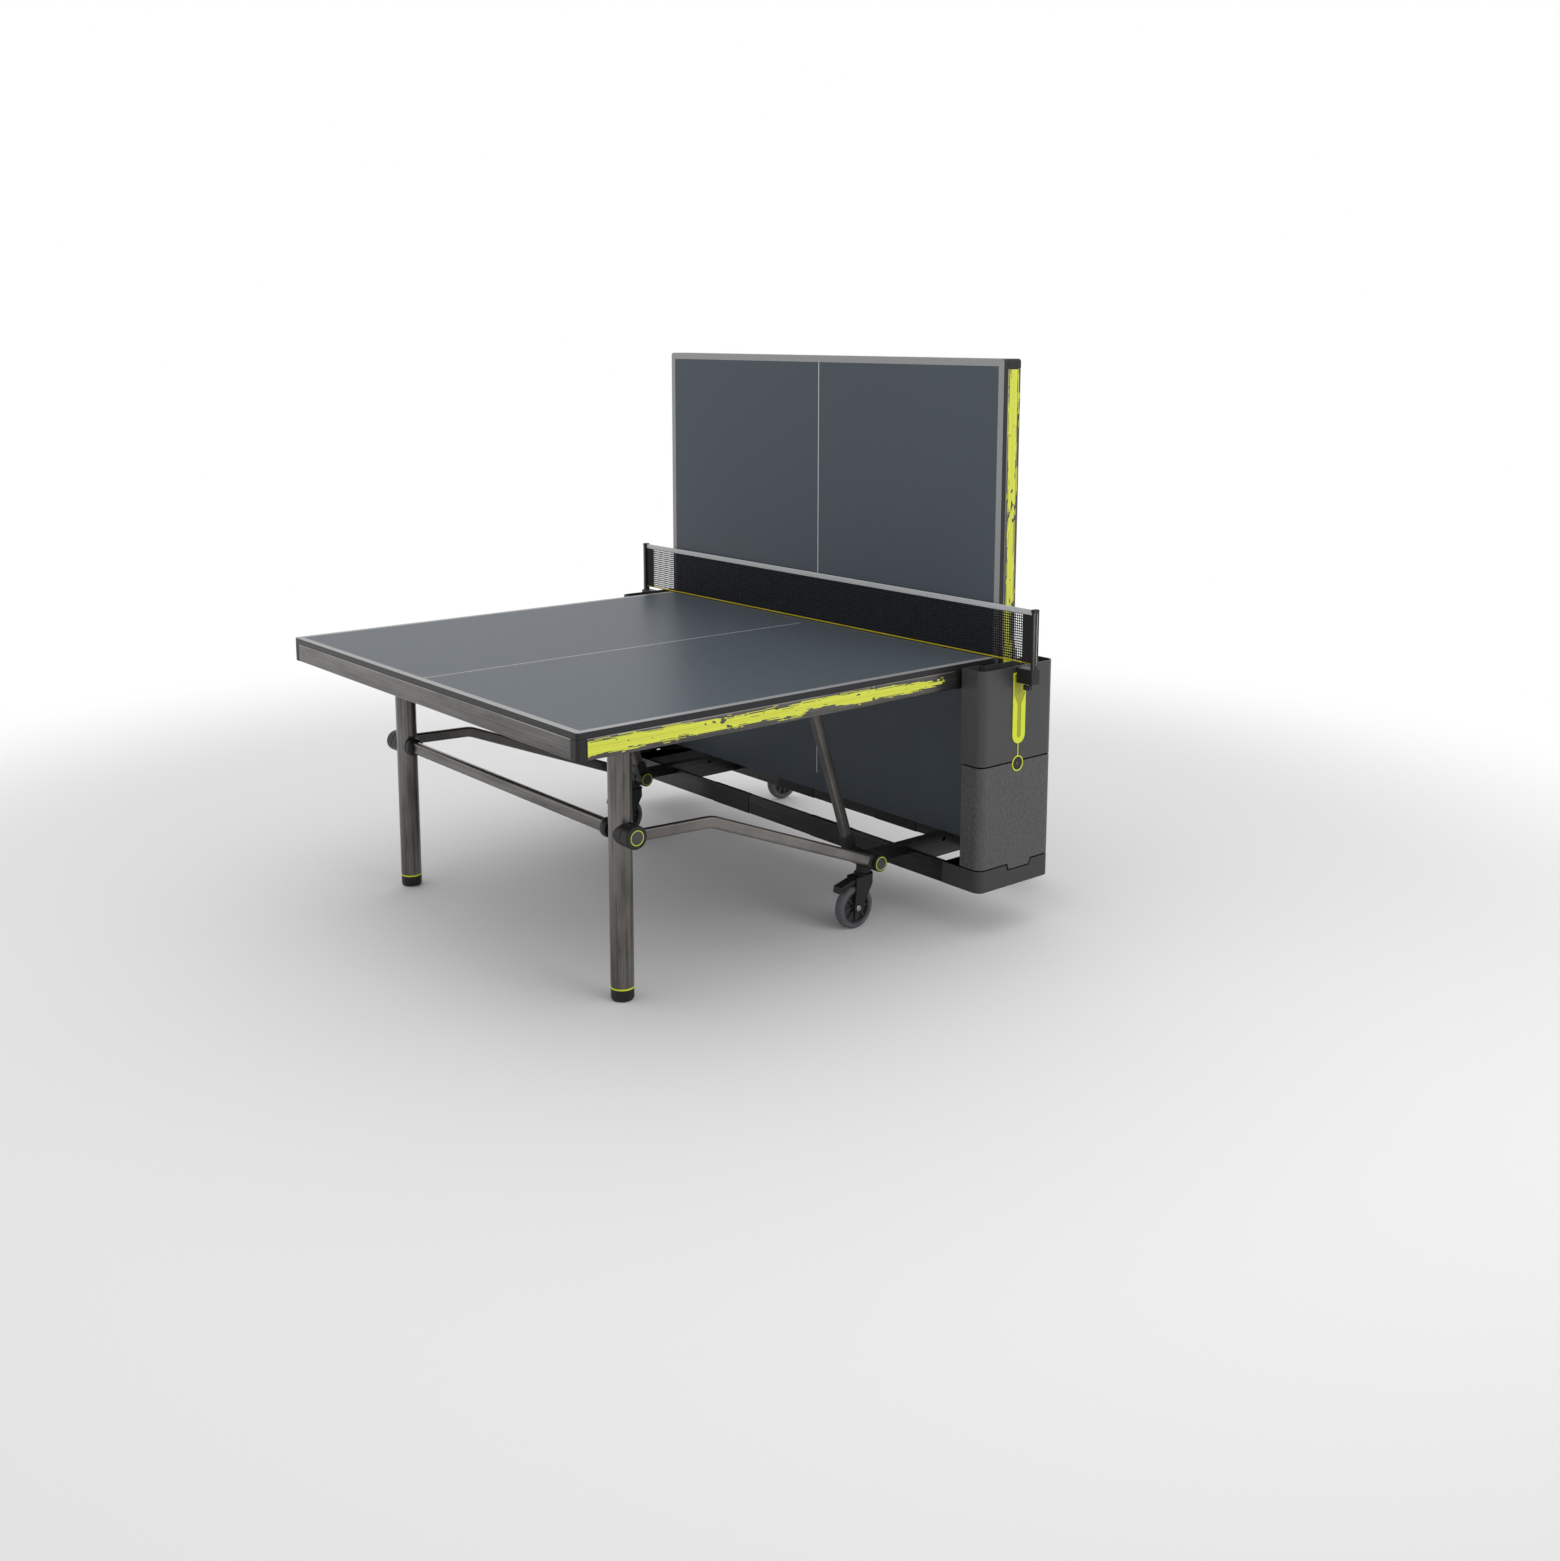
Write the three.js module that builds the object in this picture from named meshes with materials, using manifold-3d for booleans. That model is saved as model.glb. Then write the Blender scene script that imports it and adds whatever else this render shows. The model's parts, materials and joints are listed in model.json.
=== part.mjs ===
// A folding ping pong table, one half down for play and the other half folded up.
// Millimetres, +Z up. X runs along the table, Y across it, and the net stands on the plane x = 0
// of the working frame. The exported group is shifted so that its origin is under the middle of
// the whole object, on the floor.
import * as THREE from "three";
import { mergeVertices } from "three/addons/utils/BufferGeometryUtils.js";
import Module from "manifold-3d";

const wasm = await Module();
wasm.setup();

// ---------- Driving dimensions ----------
const GAP = 0.3; // between faces that touch on the real table

const table = {
  halfLength: 1369, // one half, from its net end to its far end
  width: 1525,
  height: 760, // playing surface above the floor
  netEnd: 1, // each half's net end stands this far from the net plane
  panel: 16, // thickness of the playing board
  apronHeight: 52,
  apronWall: 18,
  apronSheet: 2.5,
  corner: 27, // size of the plastic corner pieces in plan
  cornerRound: 9,
};

const fold = {
  surfaceGap: 12.5, // folded playing surface to the net plane
  guideDrop: 34, // guide pin below the playing surface
  guidePin: 5, // its radius
  landing: 3, // folded net end above the pivot beams
};

const base = {
  depth: 290, // along X, front face to rear face
  sink: 19, // underside below the forks' tops
  height: 61,
  bar: 15,
  wall: 2.5,
  trayLength: 140, // plastic tray, along Y
  trayWall: 4,
};

const locker = {
  clear: 14.5, // inner face from the table's side
  thick: 78,
  round: 24,
  wall: 3,
  seam: 485, // height of the joint between the two shells
  seamGap: 4,
  top: 752,
  binDepth: 190,
  recess: 4, // the lower shell stands back by this on its inner side
  notchFrom: -35, // the tray joint's step, along X
  notchTo: 66,
  notchDrop: 17,
};

const column = {
  width: 150,
  thick: 19,
  channel: 17,
  channelDepth: 14,
  foot: 6, // above the locker's floor
};

const pivot = {
  x: 303, // strut and link pivot, from the net plane
  rise: 47, // above the forks' tops
  radius: 24,
  boreRadius: 9,
};

const beam = {
  inset: 200.5, // middle of the pivot beams, and of the legs, from the table's side
  width: 34,
  height: 30,
  drop: 18, // underside below the pivot axis
  barrelIn: 39, // barrel's ends from the middle of the beam
  barrelOut: 41,
  barrelNeck: 4, // caster socket's wall round the fork's neck
  crossHeight: 33,
  ventRadius: 6,
};

const leg = {
  inset: 249, // leg axis from the far end
  radius: 30,
  wall: 2,
  pivotDrop: 45, // hinge below the playing surface
  topDrop: 61, // tube end below the playing surface
  hubDrop: 325, // crossbar axis below the playing surface
  slack: 7, // what the folded link and leg keep from a straight line
  eyeWidth: 30,
  eyeRadius: 10,
  pinRadius: 5,
  footHeight: 36,
  footRound: 4,
  spigot: 28,
  blockBack: 16, // hinge block's back, from the leg's axis
  blockRise: 12, // and its top above the tube
};

const hub = {
  radius: 30,
  collar: 27, // along Y, at each end of the crossbar
  collarStep: 4, // collar's radius less than the hub's
  bossStep: 2,
  bossSeat: 4, // boss sunk into the round leg
};

const crossbar = { height: 36, width: 22, wall: 2, round: 6 };

const link = {
  clear: 1, // eyes from the barrel's and the hub's outer ends
  eye: 32, // along Y
  barHeight: 32,
  barInset: 4, // bar from the eyes' inner faces
  barWidth: 16,
  bendReach: 241, // bend from the crossbar axis, towards the net
  bendDrop: 9,
};

const strut = {
  clear: 2, // from the barrel's inner end
  thick: 24, // along Y
  cap: 12, // lower eye's cap, beyond the strut
  width: 28,
  topRadius: 13,
  pivotDrop: 45,
  pinRadius: 5,
};

const crossMember = { width: 30, height: 26, offset: 20, ventRadius: 6 };
const ear = { thick: 5, radius: 10, side: 1 };

const wheel = {
  radius: 62.5,
  width: 30,
  trail: 36,
  axle: 5,
  tread: 18.5, // tyre and rim, from the rim's inner edge to the tread
  hubRadius: 15,
  hubInset: 1,
  taper: 3,
  shoulder: 6,
};

const fork = {
  rise: 25, // top above the wheel
  outer: 21, // half width
  slot: 16.7, // half width of the wheel slot
  clear: 3,
  neckRadius: 17,
  boss: 15, // round the axle
  cheek: 24, // straight part of the sides below the top
};

const pedal = {
  hingeX: -35,
  hingeDrop: 10, // hinge below the fork's top
  pin: 3,
  end: 8, // radius round the hinge
  half: 15.5, // half width
  slotMargin: 2,
  reach: 62,
  lipDrop: 26, // tip of the foot lip below the hinge
  lipThick: 7,
  slopeDrop: 8,
  slopeThick: 5,
};

const net = {
  overhang: 152.5, // post beyond the table's side
  height: 152.5,
  thick: 1.4,
  tapeHeight: 15,
  tapeThick: 4.4,
  lift: 3, // bottom cord above the table
};

const post = {
  width: 17,
  thick: 14,
  clampWidth: 32,
  clampTop: 10, // clamp block's top below the playing surface
  clampHeight: 42,
  clampStand: 4, // clamp block off the locker's face
  knobRadius: 17,
  knobHeight: 14,
  knobStem: 4,
  knobInset: 10, // knob's rim from the clamp's inner face
  cap: 2, // post's top above the net
};

const ROUND = 20; // segments round a full turn
const FINE = 12; // segments round a pin
const TREAD = 24; // segments round a wheel

// ---------- Solids ----------

// A closed three.js geometry as a manifold-3d solid.
function solid(geometry) {
  const bare = geometry.index ? geometry.toNonIndexed() : geometry.clone();
  bare.deleteAttribute("normal");
  bare.deleteAttribute("uv");
  const merged = mergeVertices(bare, 1e-4);
  return new wasm.Manifold(
    new wasm.Mesh({
      numProp: 3,
      vertProperties: new Float32Array(merged.attributes.position.array),
      triVerts: new Uint32Array(merged.index.array),
    }),
  );
}

// A manifold-3d solid as a flat-shaded geometry.
function geometryOf(body) {
  const mesh = body.getMesh();
  const geometry = new THREE.BufferGeometry();
  const corners = new THREE.BufferAttribute(new Float32Array(mesh.vertProperties), 3);
  geometry.setAttribute("position", corners);
  geometry.setIndex(new THREE.BufferAttribute(new Uint32Array(mesh.triVerts), 1));
  const flat = geometry.toNonIndexed();
  flat.computeVertexNormals();
  return flat;
}

function join(first, ...others) {
  return others.reduce((sum, other) => sum.add(other), first);
}

function cut(body, ...tools) {
  return tools.reduce((left, tool) => left.subtract(tool), body);
}

function box(x0, x1, y0, y1, z0, z1) {
  const geometry = new THREE.BoxGeometry(x1 - x0, y1 - y0, z1 - z0);
  geometry.translate((x0 + x1) / 2, (y0 + y1) / 2, (z0 + z1) / 2);
  return solid(geometry);
}

// A cylinder along Y about the point (x, z).
function rod(x, z, radius, y0, y1, segments = ROUND) {
  const geometry = new THREE.CylinderGeometry(radius, radius, y1 - y0, segments);
  geometry.translate(x, (y0 + y1) / 2, z);
  return solid(geometry);
}

// A cylinder along Z about the point (x, y).
function pillar(x, y, radius, z0, z1, segments = ROUND) {
  const geometry = new THREE.CylinderGeometry(radius, radius, z1 - z0, segments);
  geometry.rotateX(Math.PI / 2);
  geometry.translate(x, y, (z0 + z1) / 2);
  return solid(geometry);
}

// A plan outline extruded upwards.
function upright(shape, z0, z1, curveSegments = 6) {
  const geometry = new THREE.ExtrudeGeometry(shape, {
    depth: z1 - z0,
    bevelEnabled: false,
    curveSegments,
  });
  geometry.translate(0, 0, z0);
  return solid(geometry);
}

// A side outline, drawn in X and Z, extruded along Y.
function sideways(shape, y0, y1, curveSegments = 6) {
  const geometry = new THREE.ExtrudeGeometry(shape, {
    depth: y1 - y0,
    bevelEnabled: false,
    curveSegments,
  });
  geometry.rotateX(Math.PI / 2);
  geometry.translate(0, y1, 0);
  return solid(geometry);
}

function polygon(points) {
  return new THREE.Shape(points.map(([x, y]) => new THREE.Vector2(x, y)));
}

// A rectangle whose corners are rounded, each with its own radius.
function roundedRectangle(x0, x1, y0, y1, [r00, r10, r11, r01]) {
  const shape = new THREE.Shape();
  shape.moveTo(x0 + r00, y0);
  shape.lineTo(x1 - r10, y0);
  if (r10 > 0) shape.absarc(x1 - r10, y0 + r10, r10, -Math.PI / 2, 0, false);
  shape.lineTo(x1, y1 - r11);
  if (r11 > 0) shape.absarc(x1 - r11, y1 - r11, r11, 0, Math.PI / 2, false);
  shape.lineTo(x0 + r01, y1);
  if (r01 > 0) shape.absarc(x0 + r01, y1 - r01, r01, Math.PI / 2, Math.PI, false);
  shape.lineTo(x0, y0 + r00);
  if (r00 > 0) shape.absarc(x0 + r00, y0 + r00, r00, Math.PI, Math.PI * 1.5, false);
  return shape;
}

// The straight band of a given width between two points, as an outline.
function band([ax, ay], [bx, by], width) {
  const length = Math.hypot(bx - ax, by - ay);
  const nx = (-(by - ay) / length) * (width / 2);
  const ny = ((bx - ax) / length) * (width / 2);
  return polygon([
    [ax - nx, ay - ny],
    [bx - nx, by - ny],
    [bx + nx, by + ny],
    [ax + nx, ay + ny],
  ]);
}

// ---------- Materials and meshes ----------
const finishes = {
  playing_surface: { color: 0x4a5359, roughness: 0.55, metalness: 0 },
  raw_steel: { color: 0x5b564e, roughness: 0.38, metalness: 0.85 },
  black_plastic: { color: 0x1d1e20, roughness: 0.5, metalness: 0 },
  grey_plastic: { color: 0x333538, roughness: 0.6, metalness: 0 },
  accent_yellow: { color: 0xcfdb2b, roughness: 0.5, metalness: 0 },
  tyre_rubber: { color: 0x3c3f43, roughness: 0.8, metalness: 0 },
  net_mesh: { color: 0x17181a, roughness: 0.9, metalness: 0 },
  net_tape: { color: 0xc9cbcc, roughness: 0.85, metalness: 0 },
};

function part(name, finish, body) {
  const mesh = new THREE.Mesh(geometryOf(body), new THREE.MeshStandardMaterial(finishes[finish]));
  mesh.name = name;
  return mesh;
}

// ---------- Places worked out from the driving dimensions ----------
const forkTop = 2 * wheel.radius + fork.rise;
const pivotZ = forkTop + pivot.rise;
const barOuter = base.depth / 2;
const baseBottom = forkTop - base.sink;
const baseTop = baseBottom + base.height;
const beamBottom = pivotZ - beam.drop;
const beamTop = beamBottom + beam.height;
const foldedEndZ = beamTop + fold.landing;
const halfWidth = table.width / 2;
const beamY = halfWidth - beam.inset;
const barrelInner = beamY - beam.barrelIn;
const barrelOuter = beamY + beam.barrelOut;
const linkInner = barrelOuter + link.clear;
const strutOuter = barrelInner - strut.clear;
const strutInner = strutOuter - strut.thick;
const apronTop = table.panel + GAP; // below the playing surface
const apronBottom = apronTop + table.apronHeight;
const lockerInner = halfWidth + locker.clear;
const lockerOuter = lockerInner + locker.thick;
const hubPoint = {
  x: -(table.netEnd + table.halfLength - leg.inset),
  z: table.height - leg.hubDrop,
};
const pivotPoint = { x: -pivot.x, z: pivotZ };

// A point of a half, by its distance from the net end and its drop below the playing surface,
// with the half down for play or folded up.
function downPlace(reach, drop) {
  return { x: -table.netEnd - reach, z: table.height - drop };
}

function upPlace(reach, drop) {
  return { x: -fold.surfaceGap - drop, z: foldedEndZ + reach };
}

function distance(a, b) {
  return Math.hypot(a.x - b.x, a.z - b.z);
}

// Turn about +Y that takes the direction from a to b into the direction from c to d.
function turn(a, b, c, d) {
  return Math.atan2(b.z - a.z, b.x - a.x) - Math.atan2(d.z - c.z, d.x - c.x);
}

// Where two circles about a and b meet, on the left of the line from a to b.
function meet(a, radiusA, b, radiusB) {
  const span = distance(a, b);
  const along = (radiusA ** 2 - radiusB ** 2 + span ** 2) / (2 * span);
  const aside = Math.sqrt(Math.max(radiusA ** 2 - along ** 2, 0));
  const ux = (b.x - a.x) / span;
  const uz = (b.z - a.z) / span;
  return { x: a.x + along * ux - aside * uz, z: a.z + along * uz + aside * ux };
}

// The guide pin rides up and down a channel at one distance from the net plane.
const guideX = -(fold.surfaceGap + fold.guideDrop);
const guideReach = -guideX - table.netEnd;
const guideDown = downPlace(guideReach, fold.guideDrop);
const guideUp = upPlace(guideReach, fold.guideDrop);

// The strut is as long with the half down as with it folded up, which gives its place on the half.
function strutReach() {
  const across = pivot.x - table.netEnd;
  const acrossUp = pivot.x - fold.surfaceGap - strut.pivotDrop;
  const rise = table.height - strut.pivotDrop - pivotZ;
  const riseUp = foldedEndZ - pivotZ;
  return (across ** 2 + rise ** 2 - acrossUp ** 2 - riseUp ** 2) / (2 * (across + riseUp));
}

// The leg hinge stands where the folded link and leg still reach each other.
function legReach() {
  const linkLength = distance(hubPoint, pivotPoint);
  let near = 0;
  let far = table.halfLength - leg.inset;
  const left = (reach) => {
    const lower = distance(downPlace(reach, leg.pivotDrop), hubPoint);
    const span = distance(upPlace(reach, leg.pivotDrop), pivotPoint);
    return linkLength + lower - leg.slack - span;
  };
  if (left(far) > 0) return far;
  for (let step = 0; step < 50; step += 1) {
    const middle = (near + far) / 2;
    if (left(middle) > 0) near = middle;
    else far = middle;
  }
  return near;
}

const strutAt = strutReach();
const strutDown = downPlace(strutAt, strut.pivotDrop);
const strutUp = upPlace(strutAt, strut.pivotDrop);
const legAt = legReach();
const legDown = downPlace(legAt, leg.pivotDrop);
const legUp = upPlace(legAt, leg.pivotDrop);
const hubUp = meet(pivotPoint, distance(hubPoint, pivotPoint), legUp, distance(legDown, hubPoint));

const turns = {
  half: Math.PI / 2,
  leg: turn(legDown, hubPoint, legUp, hubUp),
  link: turn(pivotPoint, hubPoint, pivotPoint, hubUp),
  strut: turn(pivotPoint, strutDown, pivotPoint, strutUp),
};

// ---------- Chassis ----------

function baseBar(name, side) {
  const inner = barOuter - base.bar;
  const reach = lockerOuter - base.trayLength - GAP;
  const [x0, x1] = side < 0 ? [-barOuter, -inner] : [inner, barOuter];
  const tube = cut(
    box(x0, x1, -reach, reach, baseBottom, baseTop),
    box(x0 + base.wall, x1 - base.wall, -reach - 1, reach + 1, baseBottom + base.wall, baseTop - base.wall),
  );
  const notches = [-1, 1].map((y) =>
    box(
      x0 - 1,
      x1 + 1,
      y * beamY - beam.width / 2 - GAP,
      y * beamY + beam.width / 2 + GAP,
      beamBottom - GAP,
      baseTop + 1,
    ),
  );
  return part(name, "raw_steel", cut(tube, ...notches));
}

// The beam that carries the pivots and casters of both halves on one side of the table.
function pivotBeam(name, y) {
  const half = beam.width / 2;
  const inside = half - base.wall;
  const run = pivot.x - pivot.radius / 2;
  const tube = cut(
    box(-run, run, y - half, y + half, beamBottom, beamTop),
    box(-run - 1, run + 1, y - inside, y + inside, beamBottom + base.wall, beamTop - base.wall),
  );
  const crossRun = barOuter - base.bar - GAP;
  const cross = box(-crossRun, crossRun, y - half, y + half, beamBottom - beam.crossHeight, beamBottom);
  const sign = Math.sign(y);
  const [y0, y1] = [sign * barrelInner, sign * barrelOuter].sort((a, b) => a - b);
  const sockets = [-1, 1].map((side) =>
    join(
      rod(side * pivot.x, pivotZ, pivot.radius, y0, y1),
      pillar(side * pivot.x, y, fork.neckRadius + beam.barrelNeck, forkTop + GAP, pivotZ - pivot.radius / 2),
    ),
  );
  // A vent hole through both side walls, midway along, as a closed tube needs for its coating.
  const vent = rod(0, beamBottom + beam.height / 2, beam.ventRadius, y - half - 1, y + half + 1, FINE);
  return part(name, "black_plastic", cut(join(tube, cross, ...sockets), vent));
}

// The plan of a locker: a rounded box with a notch for the guide column on its inner side.
function lockerPlan(sign, inset, recess = 0) {
  const halfDepth = barOuter - inset;
  const outer = lockerOuter - inset;
  const inner = lockerInner + inset + recess;
  const notch = column.width / 2 + GAP + inset;
  const notchFace = lockerInner + column.thick + GAP + inset;
  const round = locker.round - inset;
  const shape = new THREE.Shape();
  shape.moveTo(-halfDepth, inner);
  shape.lineTo(-notch, inner);
  shape.lineTo(-notch, notchFace);
  shape.lineTo(notch, notchFace);
  shape.lineTo(notch, inner);
  shape.lineTo(halfDepth, inner);
  shape.absarc(halfDepth - round, outer - round, round, 0, Math.PI / 2, false);
  shape.absarc(-halfDepth + round, outer - round, round, Math.PI / 2, Math.PI, false);
  return { shape, sign };
}

function lockerSolid({ shape, sign }, z0, z1) {
  const body = upright(shape, z0, z1);
  return sign > 0 ? body : body.rotate([0, 0, 180]);
}

// The tab of the lower shell that drops into the tray's outer wall.
function trayNotch(sign, clearance) {
  const shape = polygon([
    [locker.notchFrom - clearance, baseTop + 1],
    [locker.notchFrom + 6 - clearance, baseTop - locker.notchDrop - clearance],
    [locker.notchTo - 6 + clearance, baseTop - locker.notchDrop - clearance],
    [locker.notchTo + clearance, baseTop + 1],
  ]);
  const [y0, y1] = [sign * (lockerOuter - base.trayWall), sign * lockerOuter].sort((a, b) => a - b);
  return sideways(shape, y0 - clearance, y1 + clearance);
}

function baseTray(name, sign) {
  const inner = lockerOuter - base.trayLength;
  const outline = (inset) => {
    const round = locker.round - inset;
    const x = barOuter - inset;
    return roundedRectangle(-x, x, inner + inset, lockerOuter - inset, [0, 0, round, round]);
  };
  const shell = cut(
    upright(outline(0), baseBottom - 1, baseTop),
    upright(outline(base.trayWall), baseBottom + base.trayWall, baseTop + 1),
  );
  const turned = sign > 0 ? shell : shell.rotate([0, 0, 180]);
  return part(name, "black_plastic", cut(turned, trayNotch(sign, GAP)));
}

function guideColumn(name, sign) {
  const half = column.width / 2;
  const outline = roundedRectangle(-half, half, lockerInner, lockerInner + column.thick, [0, 0, 0, 0]);
  const foot = baseTop + column.foot;
  const plate = upright(outline, foot, locker.top - column.foot);
  const channels = [-1, 1].map((side) =>
    box(
      side * -guideX - column.channel / 2,
      side * -guideX + column.channel / 2,
      lockerInner - 1,
      lockerInner + column.channelDepth,
      foot - 1,
      locker.top,
    ),
  );
  const body = cut(plate, ...channels);
  return part(name, "black_plastic", sign > 0 ? body : body.rotate([0, 0, 180]));
}

function lockerLower(name, sign) {
  const foot = baseTop + GAP;
  const top = locker.seam - locker.seamGap / 2;
  const shell = cut(
    lockerSolid(lockerPlan(sign, 0, locker.recess), foot, top),
    lockerSolid(lockerPlan(sign, locker.wall, locker.recess), foot + locker.wall, top + 1),
  );
  return part(name, "grey_plastic", join(shell, trayNotch(sign, 0)));
}

function lockerBin(name, sign) {
  const foot = locker.seam + locker.seamGap / 2;
  const floor = locker.top - locker.binDepth;
  const shell = cut(
    lockerSolid(lockerPlan(sign, 0), foot, locker.top),
    lockerSolid(lockerPlan(sign, locker.wall), floor, locker.top + 1),
    lockerSolid(lockerPlan(sign, locker.wall), foot - 1, floor - locker.wall),
  );
  return part(name, "grey_plastic", shell);
}

// ---------- Net ----------
const postY = halfWidth + net.overhang;
const netTop = table.height + net.height;

function netPost(name, sign) {
  const clampTop = table.height - post.clampTop;
  const inner = lockerOuter + post.clampStand;
  const body = join(
    box(-post.width / 2, post.width / 2, postY - post.thick, postY, clampTop - 1, netTop + post.cap),
    box(-post.clampWidth / 2, post.clampWidth / 2, inner, postY, clampTop - post.clampHeight, clampTop),
  );
  return part(name, "black_plastic", sign > 0 ? body : body.rotate([0, 0, 180]));
}

const knobY = lockerOuter + post.clampStand + post.knobInset + post.knobRadius;

function clampKnob(name, sign) {
  const top = table.height - post.clampTop - post.clampHeight - GAP;
  const seat = top - post.knobStem;
  const head = pillar(0, knobY, post.knobRadius, seat - post.knobHeight, seat, FINE);
  const stem = pillar(0, knobY, post.knobRadius / 2, seat - 1, top, FINE);
  const body = join(head, stem);
  return part(name, "black_plastic", sign > 0 ? body : body.rotate([0, 0, 180]));
}

function netParts() {
  const reach = postY - post.thick - GAP;
  const bottom = table.height + net.lift;
  const tapeBottom = netTop - net.tapeHeight;
  const cloth = box(-net.thick / 2, net.thick / 2, -reach, reach, bottom, tapeBottom - GAP);
  const tape = box(-net.tapeThick / 2, net.tapeThick / 2, -reach, reach, tapeBottom, netTop);
  return [part("net_cloth", "net_mesh", cloth), part("net_top_tape", "net_tape", tape)];
}

// ---------- Casters ----------

function casterFork(name) {
  const shape = new THREE.Shape();
  const back = pedal.hingeX - pedal.end;
  const tuck = 0.3; // angle at which the cheeks leave the axle's boss
  shape.moveTo(back, forkTop);
  shape.lineTo(fork.neckRadius, forkTop);
  shape.lineTo(fork.neckRadius, forkTop - fork.cheek);
  shape.lineTo(-wheel.trail + fork.boss, wheel.radius - fork.boss * Math.sin(tuck));
  shape.absarc(-wheel.trail, wheel.radius, fork.boss, -tuck, -Math.PI + tuck, true);
  shape.lineTo(back, forkTop - fork.cheek);
  const hood = sideways(shape, -fork.outer, fork.outer);
  const wheelSlot = rod(-wheel.trail, wheel.radius, wheel.radius + fork.clear, -fork.slot, fork.slot, ROUND);
  const pedalSlot = box(
    back - pedal.slotMargin,
    pedal.hingeX + pedal.end + pedal.slotMargin,
    -fork.slot,
    fork.slot,
    wheel.radius,
    forkTop + 1,
  );
  const axle = rod(-wheel.trail, wheel.radius, wheel.axle, -fork.outer, fork.outer, FINE);
  const pin = rod(pedal.hingeX, forkTop - pedal.hingeDrop, pedal.pin, -fork.outer, fork.outer, FINE);
  return part(name, "black_plastic", join(cut(hood, wheelSlot, pedalSlot), axle, pin));
}

// The wheel's section has a hub, a thin web and a rim that carries the tyre.
function casterWheel(name) {
  const half = wheel.width / 2;
  const bore = wheel.axle + GAP;
  const web = half / 3;
  const { hubRadius, radius, taper, shoulder, hubInset } = wheel;
  const rimRadius = radius - wheel.tread;
  const upper = [
    [radius, half - shoulder],
    [radius - shoulder, half],
    [rimRadius, half],
    [rimRadius - taper, web],
    [hubRadius + taper, web],
    [hubRadius, half - hubInset],
    [bore, half - hubInset],
  ];
  const lower = upper.map(([r, y]) => [r, -y]).reverse();
  const profile = [...lower, ...upper, lower[0]].map(([r, y]) => new THREE.Vector2(r, y));
  const geometry = new THREE.LatheGeometry(profile, TREAD);
  geometry.translate(-wheel.trail, 0, wheel.radius);
  return part(name, "tyre_rubber", solid(geometry));
}

// A lever that slopes down from its hinge and ends in a lip for the toe.
function brakePedal(name) {
  const shape = new THREE.Shape();
  const { hingeX, end, reach, slopeDrop, slopeThick, lipDrop, lipThick } = pedal;
  const hingeZ = forkTop - pedal.hingeDrop;
  const tip = hingeX - reach;
  shape.moveTo(hingeX, hingeZ + end);
  shape.lineTo(tip, hingeZ - slopeDrop);
  shape.lineTo(tip - lipThick / 2, hingeZ - lipDrop);
  shape.lineTo(tip + lipThick / 2, hingeZ - lipDrop);
  shape.lineTo(tip + lipThick + 2, hingeZ - slopeDrop - slopeThick);
  shape.lineTo(hingeX - end - slopeThick, hingeZ - end);
  shape.absarc(hingeX, hingeZ, end, -Math.PI / 2, Math.PI / 2, false);
  const hole = new THREE.Path().absarc(hingeX, hingeZ, pedal.pin + GAP, 0, Math.PI * 2, true);
  shape.holes.push(hole);
  return part(name, "black_plastic", sideways(shape, -pedal.half, pedal.half));
}

function caster(tag, x, y) {
  const group = new THREE.Group();
  group.add(
    casterFork(`caster_fork_${tag}`),
    casterWheel(`caster_wheel_${tag}`),
    brakePedal(`brake_pedal_${tag}`),
  );
  group.position.set(x, y, 0);
  if (x > 0) group.rotation.z = Math.PI;
  return group;
}

// ---------- One half of the table, drawn down for play ----------

// Two ears and their pin, on the side of a cross member.
function ears(at, y0, y1, towards, pinRadius) {
  const [from, to] = [at.x, at.x + towards * (crossMember.offset + 1)];
  const top = table.height - apronTop;
  const lower = top - crossMember.height;
  const outline = new THREE.Shape();
  if (towards > 0) {
    outline.moveTo(from, at.z - ear.radius);
    outline.lineTo(to, lower + 2);
    outline.lineTo(to, top - 1);
    outline.lineTo(from, at.z + ear.radius);
    outline.absarc(at.x, at.z, ear.radius, Math.PI / 2, Math.PI * 1.5, false);
  } else {
    outline.moveTo(from, at.z + ear.radius);
    outline.lineTo(to, top - 1);
    outline.lineTo(to, lower + 2);
    outline.lineTo(from, at.z - ear.radius);
    outline.absarc(at.x, at.z, ear.radius, -Math.PI / 2, Math.PI / 2, false);
  }
  const a = ear.side + ear.thick;
  return join(
    sideways(outline, y0 - a, y0 - ear.side),
    sideways(outline, y1 + ear.side, y1 + a),
    rod(at.x, at.z, pinRadius, y0 - a, y1 + a, FINE),
  );
}

function member(x0, x1) {
  const top = table.height - apronTop;
  const reach = halfWidth - table.apronWall + 1;
  const w = base.wall;
  return cut(
    box(x0, x1, -reach, reach, top - crossMember.height, top),
    box(x0 + w, x1 - w, -reach - 2, reach + 2, top - crossMember.height + w, top - w),
    pillar((x0 + x1) / 2, 0, crossMember.ventRadius, top - crossMember.height - 1, top - w - 1, FINE),
  );
}

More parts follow.
